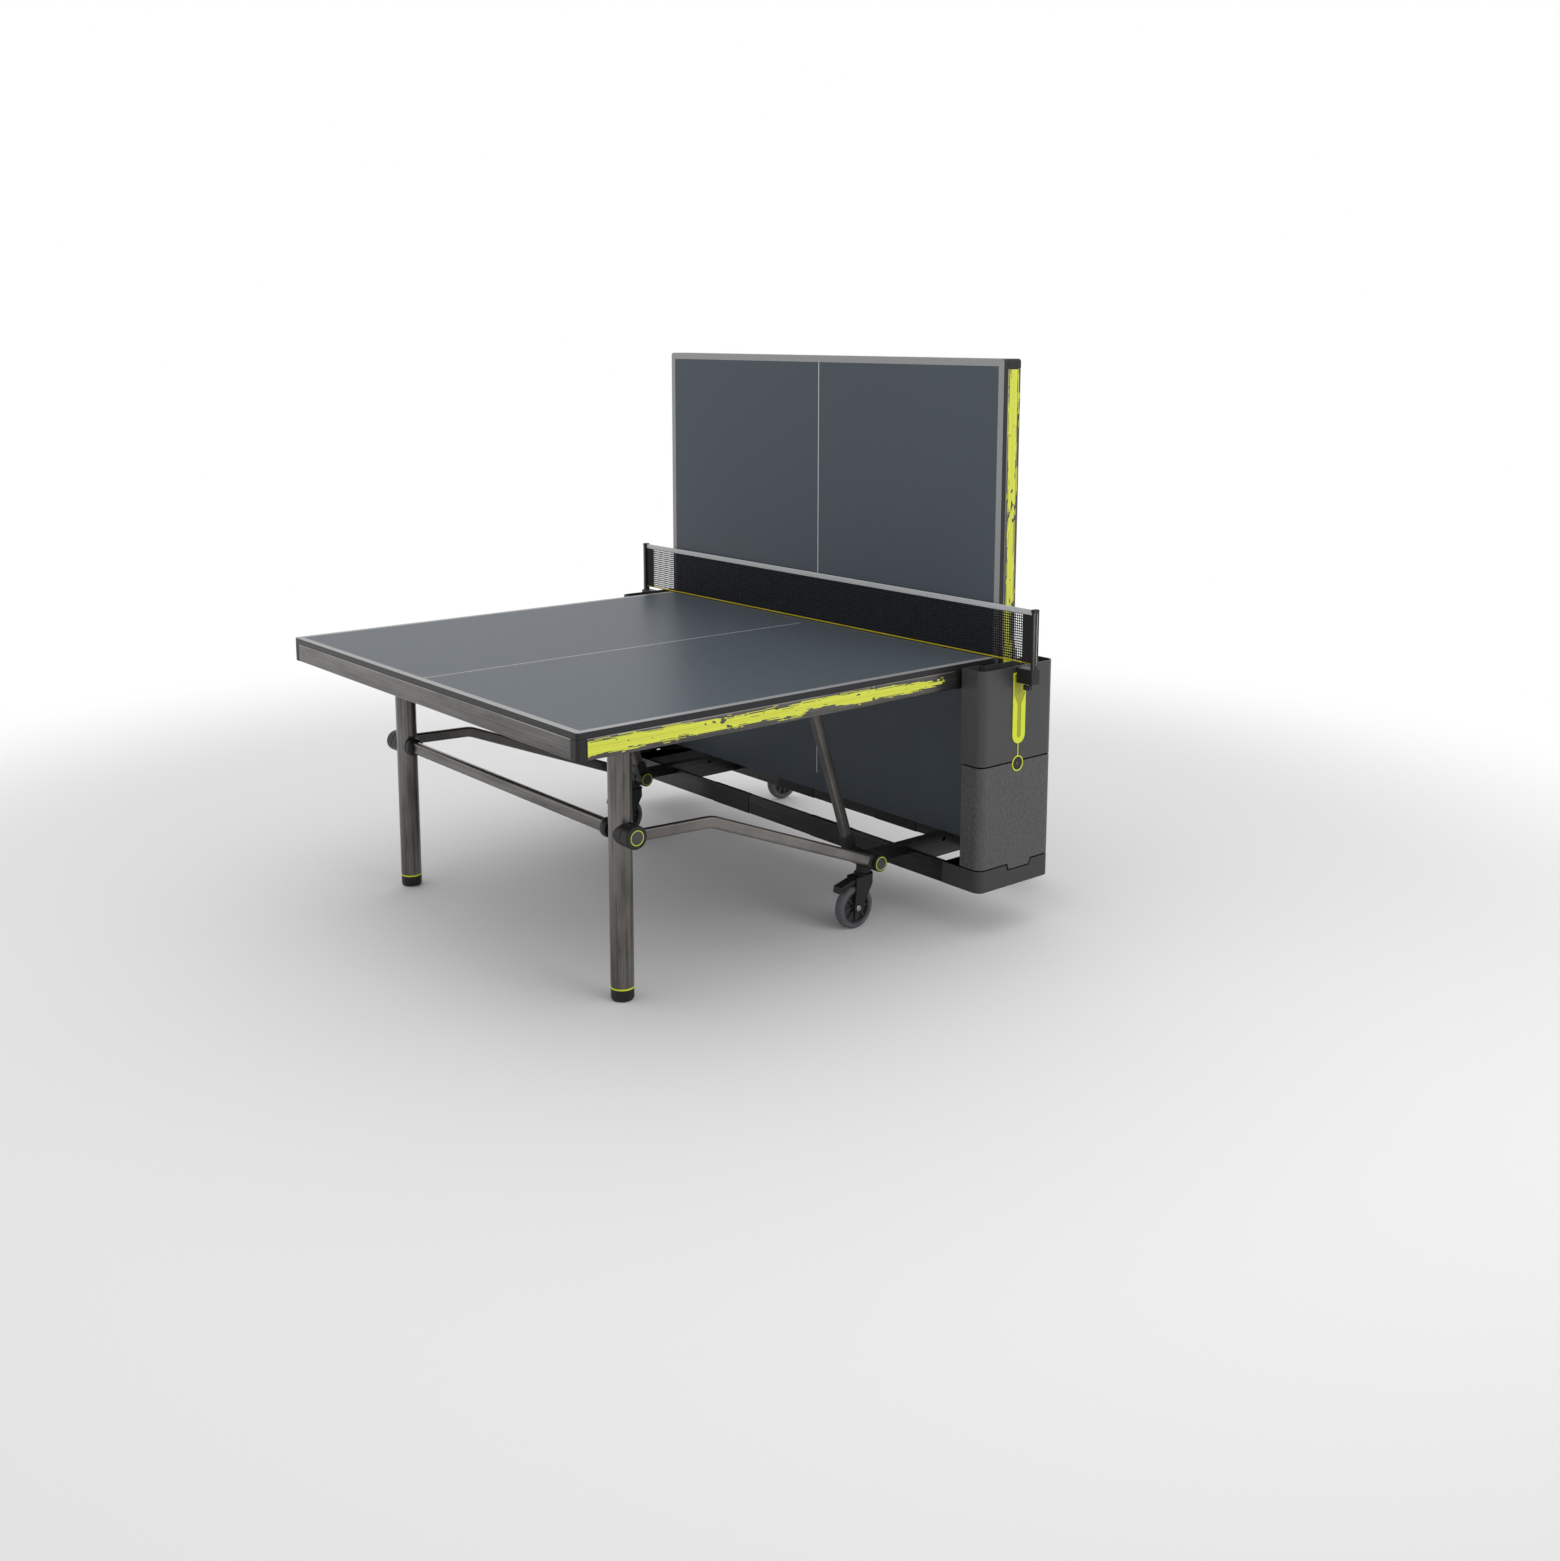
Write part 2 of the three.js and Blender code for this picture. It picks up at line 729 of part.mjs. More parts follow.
const half = {
  panel(name) {
    const x0 = -table.netEnd - table.halfLength;
    const r = table.cornerRound;
    const outline = roundedRectangle(x0, -table.netEnd, -halfWidth, halfWidth, [r, 2, 2, r]);
    return part(name, "playing_surface", upright(outline, table.height - table.panel, table.height, 4));
  },

  frame(name) {
    const x0 = -table.netEnd - table.halfLength;
    const x1 = -table.netEnd;
    const [z0, z1] = [table.height - apronBottom, table.height - apronTop];
    const w = table.apronWall;
    const c = table.corner;
    const t = table.apronSheet;
    // The apron is a folded sheet, open upwards under the board.
    const channel = cut(
      box(x0 + t, x1 - t, -halfWidth + t, halfWidth - t, z0 + t, z1 + 1),
      box(x0 + w - t, x1 - w + t, -halfWidth + w - t, halfWidth - w + t, z0, z1 + 2),
    );
    const ring = cut(
      box(x0, x1, -halfWidth, halfWidth, z0, z1),
      box(x0 + w, x1 - w, -halfWidth + w, halfWidth - w, z0 - 1, z1 + 1),
      channel,
      ...[-1, 1].map((side) => {
        const [y0, y1] = [side * (halfWidth - c), side * (halfWidth + 1)].sort((a, b) => a - b);
        return box(x0 - 1, x0 + c, y0, y1, z0 - 1, z1 + 1);
      }),
    );
    // The far corners are cut away for the plastic pieces, and a gusset closes the ring inside.
    const gussets = [-1, 1].map((side) => {
      const [y0, y1] = [side * (halfWidth - c - w), side * (halfWidth - c)].sort((a, b) => a - b);
      return join(
        box(x0 + 1, x0 + c + w, y0, y1, z0, z1),
        box(
          x0 + c,
          x0 + c + w,
          Math.min(side * (halfWidth - c - w), side * (halfWidth - 1)),
          Math.max(side * (halfWidth - c - w), side * (halfWidth - 1)),
          z0,
          z1,
        ),
      );
    });
    const { offset, width } = crossMember;
    const legMember = member(legDown.x + offset, legDown.x + offset + width);
    const strutMember = member(strutDown.x - offset - width, strutDown.x - offset);
    const body = join(ring, ...gussets, legMember, strutMember);
    const hinges = [-1, 1].flatMap((side) => {
      const e = leg.eyeWidth / 2;
      const [s0, s1] = [side * strutInner, side * strutOuter].sort((a, b) => a - b);
      return [
        ears(legDown, side * beamY - e, side * beamY + e, 1, leg.pinRadius),
        ears(strutDown, s0, s1, -1, strut.pinRadius),
      ];
    });
    const bore = rod(guideDown.x, guideDown.z, fold.guidePin + GAP, -halfWidth - 1, halfWidth + 1, FINE);
    return part(name, "raw_steel", cut(join(body, ...hinges), bore));
  },

  corner(name, side) {
    const x0 = -table.netEnd - table.halfLength;
    const c = table.corner - GAP;
    const r = table.cornerRound;
    const [z0, z1] = [table.height - apronBottom, table.height - apronTop];
    const shape =
      side > 0
        ? roundedRectangle(x0, x0 + c, halfWidth - c, halfWidth, [0, 0, 0, r])
        : roundedRectangle(x0, x0 + c, -halfWidth, -halfWidth + c, [r, 0, 0, 0]);
    return part(name, "black_plastic", upright(shape, z0, z1));
  },

  carriage(name, side) {
    const y0 = lockerInner + 1;
    const y1 = lockerInner + column.channelDepth - GAP;
    const w = column.channel / 2 - GAP;
    const inner = halfWidth - table.apronWall + 2;
    const shoe = box(guideDown.x - w, guideDown.x + w, y0, y1, guideDown.z - 20, guideDown.z + 14);
    const body = join(shoe, rod(guideDown.x, guideDown.z, fold.guidePin, inner, y0 + 1, FINE));
    return part(name, "black_plastic", side > 0 ? body : body.mirror([0, 1, 0]));
  },

  leg(name, side) {
    const y = side * beamY;
    const top = table.height - leg.topDrop;
    const tube = cut(
      pillar(hubPoint.x, y, leg.radius, leg.footHeight + GAP, top),
      pillar(hubPoint.x, y, leg.radius - leg.wall, leg.footHeight - 1, top - leg.wall),
    );
    const e = leg.eyeWidth / 2;
    const block = new THREE.Shape();
    block.moveTo(hubPoint.x - leg.blockBack, top - 1);
    block.lineTo(legDown.x + 2, top - 1);
    block.lineTo(legDown.x + leg.eyeRadius, legDown.z);
    block.absarc(legDown.x, legDown.z, leg.eyeRadius, 0, Math.PI / 2, false);
    block.lineTo(hubPoint.x - leg.blockBack, top + leg.blockRise);
    const eye = cut(
      sideways(block, y - e, y + e),
      rod(legDown.x, legDown.z, leg.pinRadius + GAP, y - e - 1, y + e + 1, FINE),
    );
    const outer = side * (beamY + leg.radius - hub.bossSeat);
    const [y0, y1] = [outer, side * barrelOuter].sort((a, b) => a - b);
    const boss = cut(
      rod(hubPoint.x, hubPoint.z, hub.radius - hub.bossStep, y0, y1),
      pillar(hubPoint.x, y, leg.radius - leg.wall, hubPoint.z - 50, hubPoint.z + 50),
    );
    return part(name, "raw_steel", join(tube, eye, boss));
  },

  crossbar(name) {
    const reach = beamY - leg.radius - GAP;
    const { height, width, wall } = crossbar;
    const outline = (inset) =>
      roundedRectangle(
        hubPoint.x - width / 2 + inset,
        hubPoint.x + width / 2 - inset,
        hubPoint.z - height / 2 + inset,
        hubPoint.z + height / 2 - inset,
        Array(4).fill(crossbar.round - inset),
      );
    const collars = [-1, 1].map((side) => {
      const [y0, y1] = [side * (reach - hub.collar), side * reach].sort((a, b) => a - b);
      return rod(hubPoint.x, hubPoint.z, hub.radius - hub.collarStep, y0, y1);
    });
    const tube = sideways(outline(0), -reach, reach, 3);
    const bore = sideways(outline(wall), -reach - 1, reach + 1, 3);
    return part(name, "raw_steel", cut(join(tube, ...collars), bore));
  },

  foot(name, side) {
    const y = side * beamY;
    const spigot = leg.radius - leg.wall - GAP;
    const profile = [
      [0, 0],
      [leg.radius - leg.footRound, 0],
      [leg.radius, leg.footRound],
      [leg.radius, leg.footHeight],
      [spigot, leg.footHeight],
      [spigot, leg.footHeight + leg.spigot],
      [0, leg.footHeight + leg.spigot],
    ].map(([r, z]) => new THREE.Vector2(r, z));
    const geometry = new THREE.LatheGeometry(profile, ROUND);
    geometry.rotateX(Math.PI / 2);
    geometry.translate(hubPoint.x, y, 0);
    return part(name, "black_plastic", solid(geometry));
  },

  link(name, side) {
    const bend = [hubPoint.x + link.bendReach, hubPoint.z - link.bendDrop];
    const a = [hubPoint.x, hubPoint.z];
    const b = [pivotPoint.x, pivotPoint.z];
    const [y0, y1] = [linkInner + link.barInset, linkInner + link.barInset + link.barWidth];
    const bar = join(
      sideways(band(a, bend, link.barHeight), y0, y1),
      sideways(band(bend, b, link.barHeight), y0, y1),
      rod(bend[0], bend[1], link.barHeight / 2, y0, y1),
      rod(a[0], a[1], hub.radius, linkInner, linkInner + link.eye),
      rod(b[0], b[1], pivot.radius, linkInner, linkInner + link.eye),
    );
    return part(name, "raw_steel", side > 0 ? bar : bar.mirror([0, 1, 0]));
  },

  strut(name, side) {
    const a = [strutDown.x, strutDown.z];
    const b = [pivotPoint.x, pivotPoint.z];
    const bar = join(
      sideways(band(a, b, strut.width), strutInner, strutOuter),
      rod(a[0], a[1], strut.topRadius, strutInner, strutOuter),
      rod(b[0], b[1], pivot.radius, strutInner - strut.cap, strutOuter),
    );
    const bored = cut(bar, rod(a[0], a[1], strut.pinRadius + GAP, strutInner - 1, strutOuter + 1, FINE));
    return part(name, "raw_steel", side > 0 ? bored : bored.mirror([0, 1, 0]));
  },
};

// Meshes drawn about one pivot, turned about it and moved to another.
function swung(from, to, angle, meshes) {
  const inner = new THREE.Group();
  inner.position.set(-from.x, 0, -from.z);
  inner.add(...meshes);
  const outer = new THREE.Group();
  outer.position.set(to.x, 0, to.z);
  outer.rotation.y = angle;
  outer.add(inner);
  return outer;
}

// One half with its legs, links, struts and guides, down for play or folded up.
function tableHalf(tag, folded) {
  const group = new THREE.Group();
  const place = (down, up) => (folded ? up : down);
  const angle = (value) => (folded ? value : 0);
  // The second half is turned half a turn, so its left side is drawn on the right.
  const sides = folded ? { left: -1, right: 1 } : { left: 1, right: -1 };
  const both = (make, word) =>
    Object.entries(sides).map(([sideName, side]) => make(`${word}_${tag}_${sideName}`, side));
  const guide = place(guideDown, guideUp);
  group.add(
    swung(guideDown, guide, 0, both(half.carriage, "guide_carriage")),
    swung(guideDown, guide, angle(turns.half), [
      half.panel(`top_panel_${tag}`),
      half.frame(`apron_frame_${tag}`),
      ...both(half.corner, "corner_piece"),
    ]),
    swung(legDown, place(legDown, legUp), angle(turns.leg), [
      ...both(half.leg, "leg"),
      half.crossbar(`crossbar_${tag}`),
      ...both(half.foot, "foot"),
    ]),
    swung(pivotPoint, pivotPoint, angle(turns.link), both(half.link, "link")),
    swung(pivotPoint, pivotPoint, angle(turns.strut), both(half.strut, "strut")),
  );
  if (folded) group.rotation.z = Math.PI;
  return group;
}

// ---------- The whole table ----------
const group = new THREE.Group();
group.add(baseBar("base_bar_front", -1), baseBar("base_bar_rear", 1));
for (const [sideName, sign] of Object.entries({ left: 1, right: -1 })) {
  group.add(
    pivotBeam(`pivot_beam_${sideName}`, sign * beamY),
    baseTray(`base_tray_${sideName}`, sign),
    guideColumn(`guide_column_${sideName}`, sign),
    lockerLower(`locker_lower_${sideName}`, sign),
    lockerBin(`locker_bin_${sideName}`, sign),
    netPost(`net_post_${sideName}`, sign),
    clampKnob(`clamp_knob_${sideName}`, sign),
    caster(`front_${sideName}`, -pivot.x, sign * beamY),
    caster(`rear_${sideName}`, pivot.x, sign * beamY),
  );
}
group.add(...netParts(), tableHalf("a", false), tableHalf("b", true));

const farEnd = table.netEnd + table.halfLength;
const rearEnd = pivot.x + wheel.trail + wheel.radius;
const shift = (farEnd - rearEnd) / 2;
group.position.x = shift;

// The pivots in the exported frame, for whoever sets up the joints.
group.userData = {
  shift,
  guideDown,
  guideUp,
  strutDown,
  strutUp,
  legDown,
  legUp,
  hubPoint,
  hubUp,
  pivotPoint,
  turns,
};

export default group;
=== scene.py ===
import json
import math
import random

import bmesh
import bpy
from mathutils import Matrix, Vector, noise

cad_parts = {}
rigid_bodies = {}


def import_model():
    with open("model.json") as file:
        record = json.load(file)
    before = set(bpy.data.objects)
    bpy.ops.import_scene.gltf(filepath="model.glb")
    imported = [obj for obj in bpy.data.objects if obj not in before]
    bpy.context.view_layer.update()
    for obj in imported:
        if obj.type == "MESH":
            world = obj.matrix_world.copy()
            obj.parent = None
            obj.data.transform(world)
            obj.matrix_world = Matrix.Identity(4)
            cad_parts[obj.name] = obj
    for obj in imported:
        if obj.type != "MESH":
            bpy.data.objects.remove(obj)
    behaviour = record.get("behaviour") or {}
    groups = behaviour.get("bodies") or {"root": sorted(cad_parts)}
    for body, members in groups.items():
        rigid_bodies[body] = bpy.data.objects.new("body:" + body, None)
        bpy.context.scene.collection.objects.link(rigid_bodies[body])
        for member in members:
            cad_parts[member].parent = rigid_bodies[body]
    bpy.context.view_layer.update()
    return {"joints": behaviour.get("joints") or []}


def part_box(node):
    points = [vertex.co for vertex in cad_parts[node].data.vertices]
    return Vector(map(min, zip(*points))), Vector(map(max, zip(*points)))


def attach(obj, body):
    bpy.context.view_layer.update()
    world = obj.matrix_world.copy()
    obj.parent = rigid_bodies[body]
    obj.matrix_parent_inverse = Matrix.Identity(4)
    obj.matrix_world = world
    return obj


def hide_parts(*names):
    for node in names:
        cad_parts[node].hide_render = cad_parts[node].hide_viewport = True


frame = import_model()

MM = 0.001  # pieces are drawn in millimetres, with the net's plane at x = 0

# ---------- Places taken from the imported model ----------
NET_X = sum(p.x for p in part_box("net_cloth")) / 2
TO_SCENE = Matrix.Translation((NET_X, 0, 0)) @ Matrix.Scale(MM, 4)
JOINTS = {j["name"]: j for j in frame["joints"]}
JOINT_OF = {j["child"]: j for j in frame["joints"]}
HALF_TURN = TO_SCENE @ Matrix.Rotation(math.pi, 4, "Z") @ TO_SCENE.inverted()


def extent(node):
    """Lowest and highest corner of a CAD node in millimetres from the net's plane."""
    back = TO_SCENE.inverted()
    lo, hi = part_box(node)
    return back @ lo, back @ hi


def joint_place(name):
    return TO_SCENE.inverted() @ Vector(JOINTS[name]["pos_m"])


def moved_by(body):
    """Matrix that takes a body of the folded half from rest to the half being down."""
    joint = JOINT_OF.get(body)
    if joint is None:
        return Matrix.Identity(4)
    axis = Vector(joint["axis"])
    if joint["type"] == "slide":
        far = 0 if "screw" in joint["name"] else joint["range_m"][1]
        own = Matrix.Translation(axis * far)
    else:
        place = Matrix.Translation(joint["pos_m"])
        turn = Matrix.Rotation(math.radians(joint["range_deg"][1]), 4, axis)
        own = place @ turn @ place.inverted()
    return moved_by(joint["parent"]) @ own


def half_b_place(body):
    """Matrix from a piece of half a, down for play, to the same piece of half b at rest."""
    return moved_by(body).inverted() @ HALF_TURN


board_lo, board_hi = extent("top_panel_a")
apron_lo, apron_hi = extent("apron_frame_a")
corner_lo, corner_hi = extent("corner_piece_a_left")
foot_lo, foot_hi = extent("foot_a_left")
bar_lo, bar_hi = extent("crossbar_a")
front_lo, front_hi = extent("base_bar_front")
rear_lo, rear_hi = extent("base_bar_rear")
link_lo, link_hi = extent("link_a_left")
strut_lo, strut_hi = extent("strut_a_left")
beam_lo, beam_hi = extent("pivot_beam_left")
net_lo, net_hi = extent("net_cloth")
tape_lo, tape_hi = extent("net_top_tape")
leg_hi = extent("leg_a_left")[1]
tray_hi = extent("base_tray_left")[1]
lower_hi = extent("locker_lower_left")[1]
bin_hi = extent("locker_bin_left")[1]
post_hi = extent("net_post_left")[1]

LEG_Y = (foot_lo.y + foot_hi.y) / 2
LEG_R = (foot_hi.x - foot_lo.x) / 2
HUB = Vector(((foot_lo.x + foot_hi.x) / 2, 0, (bar_lo.z + bar_hi.z) / 2))
PIVOT = joint_place("links_a_swing")
LEG_HINGE = joint_place("legs_a_fold")
STRUT_TOP = joint_place("struts_a_swing")

# ---------- Sizes of what only shows here ----------
LINE = 20  # border line's width
CENTRE_LINE = 3
CENTRE_STOP = 58  # where it ends, from the net
EDGE = 1.2  # rounding of the boards' and tubes' long edges
APRON = 18  # width of the apron's section
END_CAP = 157  # black end pieces of the aprons reach this far from the net
MEMBER = 30  # cross member's width
MEMBER_H = 26
MEMBER_OFFSET = 20  # from the hinge that it carries
EAR_THICK = 5
EAR_STAND = 3.5  # ear's middle beyond the eye it holds
LEG_TOP = 699  # top of the leg's tube
LEG_BORE = 28
FOOT_NECK = 28  # the foot's neck stands this far up in the leg
EYE_R = 10  # radius of the hinges' eyes on the boards' frames
LINK_BEND = Vector((241, 0, -9))  # from the hub's axis
LINK_BEND_R = 90
LINK_TALL = 32
LINK_THICK = 16
STRUT_WIDE = 28
STRUT_THICK = 24
HUB_R = 30
PIVOT_R = 24
CAP_FACE = 2.4  # height of a cap's ring, from the cap's seat to its outer face
RING_R = 18.5  # yellow rings on the hub and pivot caps
RING_W = 1.9
JOINT = 3.2  # shown gap between tray and locker
TAB = (-35, 66)  # the locker's tab in the tray, along x
DRAWN_BACK = 100  # within this distance of the middle the foot is drawn back along x too
SLEEVE = (150, 330)  # black sleeves on the front bar, from and to, across the table
STRIP_HALF = 25
STRIP_TOP = 735
STRIP_FOOT = 535
STRIP_THICK = 2.6
SLOT_SHOULDER = 672  # the strip's slot narrows from here
SLOT_NECK = 646  # to here
LOCK_RING_Z = 478
LOCK_RING_R = 22
STITCH = 6  # pitch of the tape's stitches
CORD_LAY = 9  # length of one turn of the cord's two strands
SPOKES = 8
CELL = 7.2  # net's mesh
STRAND = 3.1  # thread's width as it lies in the mesh
STRAND_THICK = 1.2
SIDE_BAND = 38
BEADS = 34
BEAD_PITCH = 4.2
CHAIN_ROOM = 1.5  # the posts' outer faces stand back by this, and a tension chain lies there


# ---------- Materials ----------
class Shader:
    """A Principled material whose nodes are added one call at a time."""

    def __init__(self, name, color, roughness, metallic=0.0, **sockets):
        self.material = bpy.data.materials.new(name)
        self.material.use_nodes = True
        self.tree = self.material.node_tree
        self.surface = self.tree.nodes["Principled BSDF"]
        self.set("Base Color", (*color, 1))
        self.set("Roughness", roughness)
        self.set("Metallic", metallic)
        for socket, value in sockets.items():
            self.set(socket.replace("_", " "), value)
        self.place = self.add("ShaderNodeAttribute")
        self.place.attribute_name = "design"

    def set(self, socket, value):
        self.surface.inputs[socket].default_value = value

    def add(self, kind, links=(), **inputs):
        node = self.tree.nodes.new(kind)
        for name, value in inputs.items():
            node.inputs[name].default_value = value
        for name, source in links:
            self.tree.links.new(source, node.inputs[name])
        return node

    def link(self, source, socket):
        self.tree.links.new(source, self.surface.inputs[socket])

    def spread(self, scale):
        """The drawing's coordinates, in metres, stretched by scale."""
        node = self.add("ShaderNodeMapping", [("Vector", self.place.outputs["Vector"])], Scale=scale)
        return node.outputs["Vector"]

    def push(self, source, reach):
        """A sideways push of up to a reach, in metres, from a 0 to 1 pattern."""
        node = self.add("ShaderNodeVectorMath", [(0, source)])
        node.operation = "SCALE"
        node.inputs["Scale"].default_value = reach
        return node.outputs[0]

    def combine(self, operation, a, b):
        """Two patterns put together by one operation."""
        node = self.add("ShaderNodeMath", [(0, a), (1, b)])
        node.operation = operation
        return node.outputs[0]

    def noise(self, scale, detail=4.0, rough=0.55, stretch=(1, 1, 1)):
        node = self.add("ShaderNodeTexNoise", [("Vector", self.spread(stretch))])
        node.inputs["Scale"].default_value = scale
        node.inputs["Detail"].default_value = detail
        node.inputs["Roughness"].default_value = rough
        return node.outputs["Fac"]

    def ramp(self, source, stops):
        node = self.add("ShaderNodeValToRGB", [("Fac", source)])
        elements = node.color_ramp.elements
        while len(elements) < len(stops):
            elements.new(0.5)
        for element, (at, color) in zip(elements, stops):
            element.position = at
            element.color = (*color, 1)
        return node.outputs["Color"]

    def spread_to(self, source, low, high):
        """A 0 to 1 pattern turned into a value from low to high."""
        node = self.add("ShaderNodeMapRange", [("Value", source)])
        node.inputs["To Min"].default_value = low
        node.inputs["To Max"].default_value = high
        return node.outputs["Result"]

    def mix(self, fac, a, b):
        node = self.add("ShaderNodeMix")
        node.data_type = "RGBA"
        color_a, color_b = [s for s in node.inputs if s.type == "RGBA"][:2]
        self.tree.links.new(fac, node.inputs[0])
        for socket, value in ((color_a, a), (color_b, b)):
            if isinstance(value, tuple):
                socket.default_value = (*value, 1)
            else:
                self.tree.links.new(value, socket)
        return [s for s in node.outputs if s.type == "RGBA"][0]

    def bump(self, source, depth, strength=1.0, under=None):
        node = self.add("ShaderNodeBump", [("Height", source)])
        node.inputs["Strength"].default_value = strength
        node.inputs["Distance"].default_value = depth
        if under is not None:
            self.tree.links.new(under, node.inputs["Normal"])
        return node.outputs["Normal"]


def times(color, factor):
    return tuple(c * factor for c in color)


def playing_surface():
    s = Shader("playing_surface", (0.076, 0.093, 0.109), 0.4)
    s.set("Specular IOR Level", 0.12)
    cloud = s.noise(2.2, 3)
    s.link(s.mix(cloud, (0.073, 0.089, 0.105), (0.079, 0.097, 0.113)), "Base Color")
    s.link(s.spread_to(s.noise(55, 5), 0.34, 0.43), "Roughness")
    s.link(s.bump(s.noise(900, 3), 0.00006, 0.6), "Normal")
    return s.material


def line_paint(name, tone):
    s = Shader(name, (tone, tone, tone * 1.02), 0.4)
    low, high = tone * 0.92, tone * 1.08
    s.link(s.mix(s.noise(120, 5), (low, low, low * 1.02), (high, high, high * 1.02)), "Base Color")
    s.link(s.bump(s.noise(700, 3), 0.00005, 0.6), "Normal")
    return s.material


def raw_steel(name, low, high, rough=(0.22, 0.36)):
    """Drawn steel under clear lacquer: dark streaks and mill marks along the drawing's z."""
    s = Shader(name, high, 0.35, 0.88)
    s.set("Coat Weight", 0.35)
    s.set("Coat Roughness", 0.18)
    streaks = s.noise(1.0, 6, 0.62, (260, 260, 2.4))
    blotch = s.noise(1.0, 4, 0.6, (22, 22, 4.5))
    stops = [(0.12, low), (0.27, high), (0.42, times(high, 1.5))]
    s.link(s.ramp(s.combine("MULTIPLY", streaks, blotch), stops), "Base Color")
    s.link(s.spread_to(streaks, *rough), "Roughness")
    s.link(s.bump(streaks, 0.00008, 0.5), "Normal")
    return s.material


def grained_plastic(name, color, roughness, grain=2600, depth=0.00005, gloss=0.32):
    s = Shader(name, color, roughness)
    s.set("Specular IOR Level", gloss)
    s.link(s.mix(s.noise(30, 3), times(color, 0.92), times(color, 1.08)), "Base Color")
    s.link(s.spread_to(s.noise(60, 3), roughness - 0.02, roughness + 0.02), "Roughness")
    s.link(s.bump(s.noise(grain, 2), depth, 0.5), "Normal")
    return s.material


def pebbled_plastic():
    """The lower lockers' coarse grain: raised pebbles with narrow channels between them."""
    color = (0.062, 0.062, 0.064)
    s = Shader("pebbled_plastic", color, 0.42)
    wobble = s.add("ShaderNodeVectorMath", [(0, s.spread((1, 1, 0.8))), (1, s.push(s.noise(90, 3), 0.004))])
    wobble.operation = "ADD"
    cells = s.add("ShaderNodeTexVoronoi", [("Vector", wobble.outputs[0])], Scale=125)
    cells.feature = "SMOOTH_F1"
    cells.inputs["Smoothness"].default_value = 0.6
    height = s.ramp(cells.outputs["Distance"], [(0.15, (1, 1, 1)), (0.62, (0, 0, 0))])
    fine = s.bump(s.noise(1800, 2), 0.00004, 0.4)
    s.link(s.bump(height, 0.0014, 0.7, fine), "Normal")
    # Painted shade: the channels between the pebbles are darker and the pebbles' tops a little lighter.
    s.link(s.mix(height, times(color, 0.85), times(color, 1.05)), "Base Color")
    s.link(s.spread_to(height, 0.5, 0.36), "Roughness")
    return s.material


def accent_yellow(name="accent_yellow", color=(0.60, 0.68, 0.022)):
    s = Shader(name, color, 0.45)
    s.link(s.mix(s.noise(40, 3), times(color, 0.92), times(color, 1.05)), "Base Color")
    s.link(s.bump(s.noise(1500, 2), 0.00004, 0.4), "Normal")
    return s.material


def brush_paint():
    """Dry-brushed yellow film: bristle streaks along its length."""
    s = Shader("brush_paint", (0.62, 0.66, 0.05), 0.42)
    streaks = s.noise(1.0, 5, 0.6, (9, 9, 420))
    stops = [(0.30, (0.42, 0.44, 0.035)), (0.46, (0.60, 0.64, 0.045)), (0.7, (0.68, 0.72, 0.07))]
    s.link(s.ramp(streaks, stops), "Base Color")
    s.link(s.bump(streaks, 0.0001, 0.5), "Normal")
    return s.material


def rubber():
    s = Shader("tyre_rubber", (0.075, 0.08, 0.086), 0.7)
    s.link(s.mix(s.noise(60, 4), (0.060, 0.064, 0.070), (0.095, 0.10, 0.108)), "Base Color")
    s.link(s.bump(s.noise(500, 4), 0.00015, 0.6), "Normal")
    return s.material


def net_yarn(name, color):
    s = Shader(name, color, 0.85)
    s.set("Specular IOR Level", 0.2)
    twist = s.noise(1500, 2)
    s.link(s.mix(twist, times(color, 0.7), times(color, 1.25)), "Base Color")
    s.link(s.bump(twist, 0.0002, 0.7), "Normal")
    return s.material


def woven_tape():
    """The top tape's plain weave."""
    s = Shader("woven_tape", (0.5, 0.51, 0.52), 0.82)
    s.set("Sheen Weight", 0.3)
    threads = []
    for direction in "YZ":
        wave = s.add("ShaderNodeTexWave", [("Vector", s.spread((1, 1, 1)))], Scale=520)
        wave.bands_direction = direction
        threads.append(wave.outputs["Fac"])
    weave = s.combine("MAXIMUM", *threads)
    s.link(s.mix(weave, (0.36, 0.37, 0.38), (0.55, 0.56, 0.57)), "Base Color")
    s.link(s.bump(weave, 0.0003, 0.7), "Normal")
    return s.material


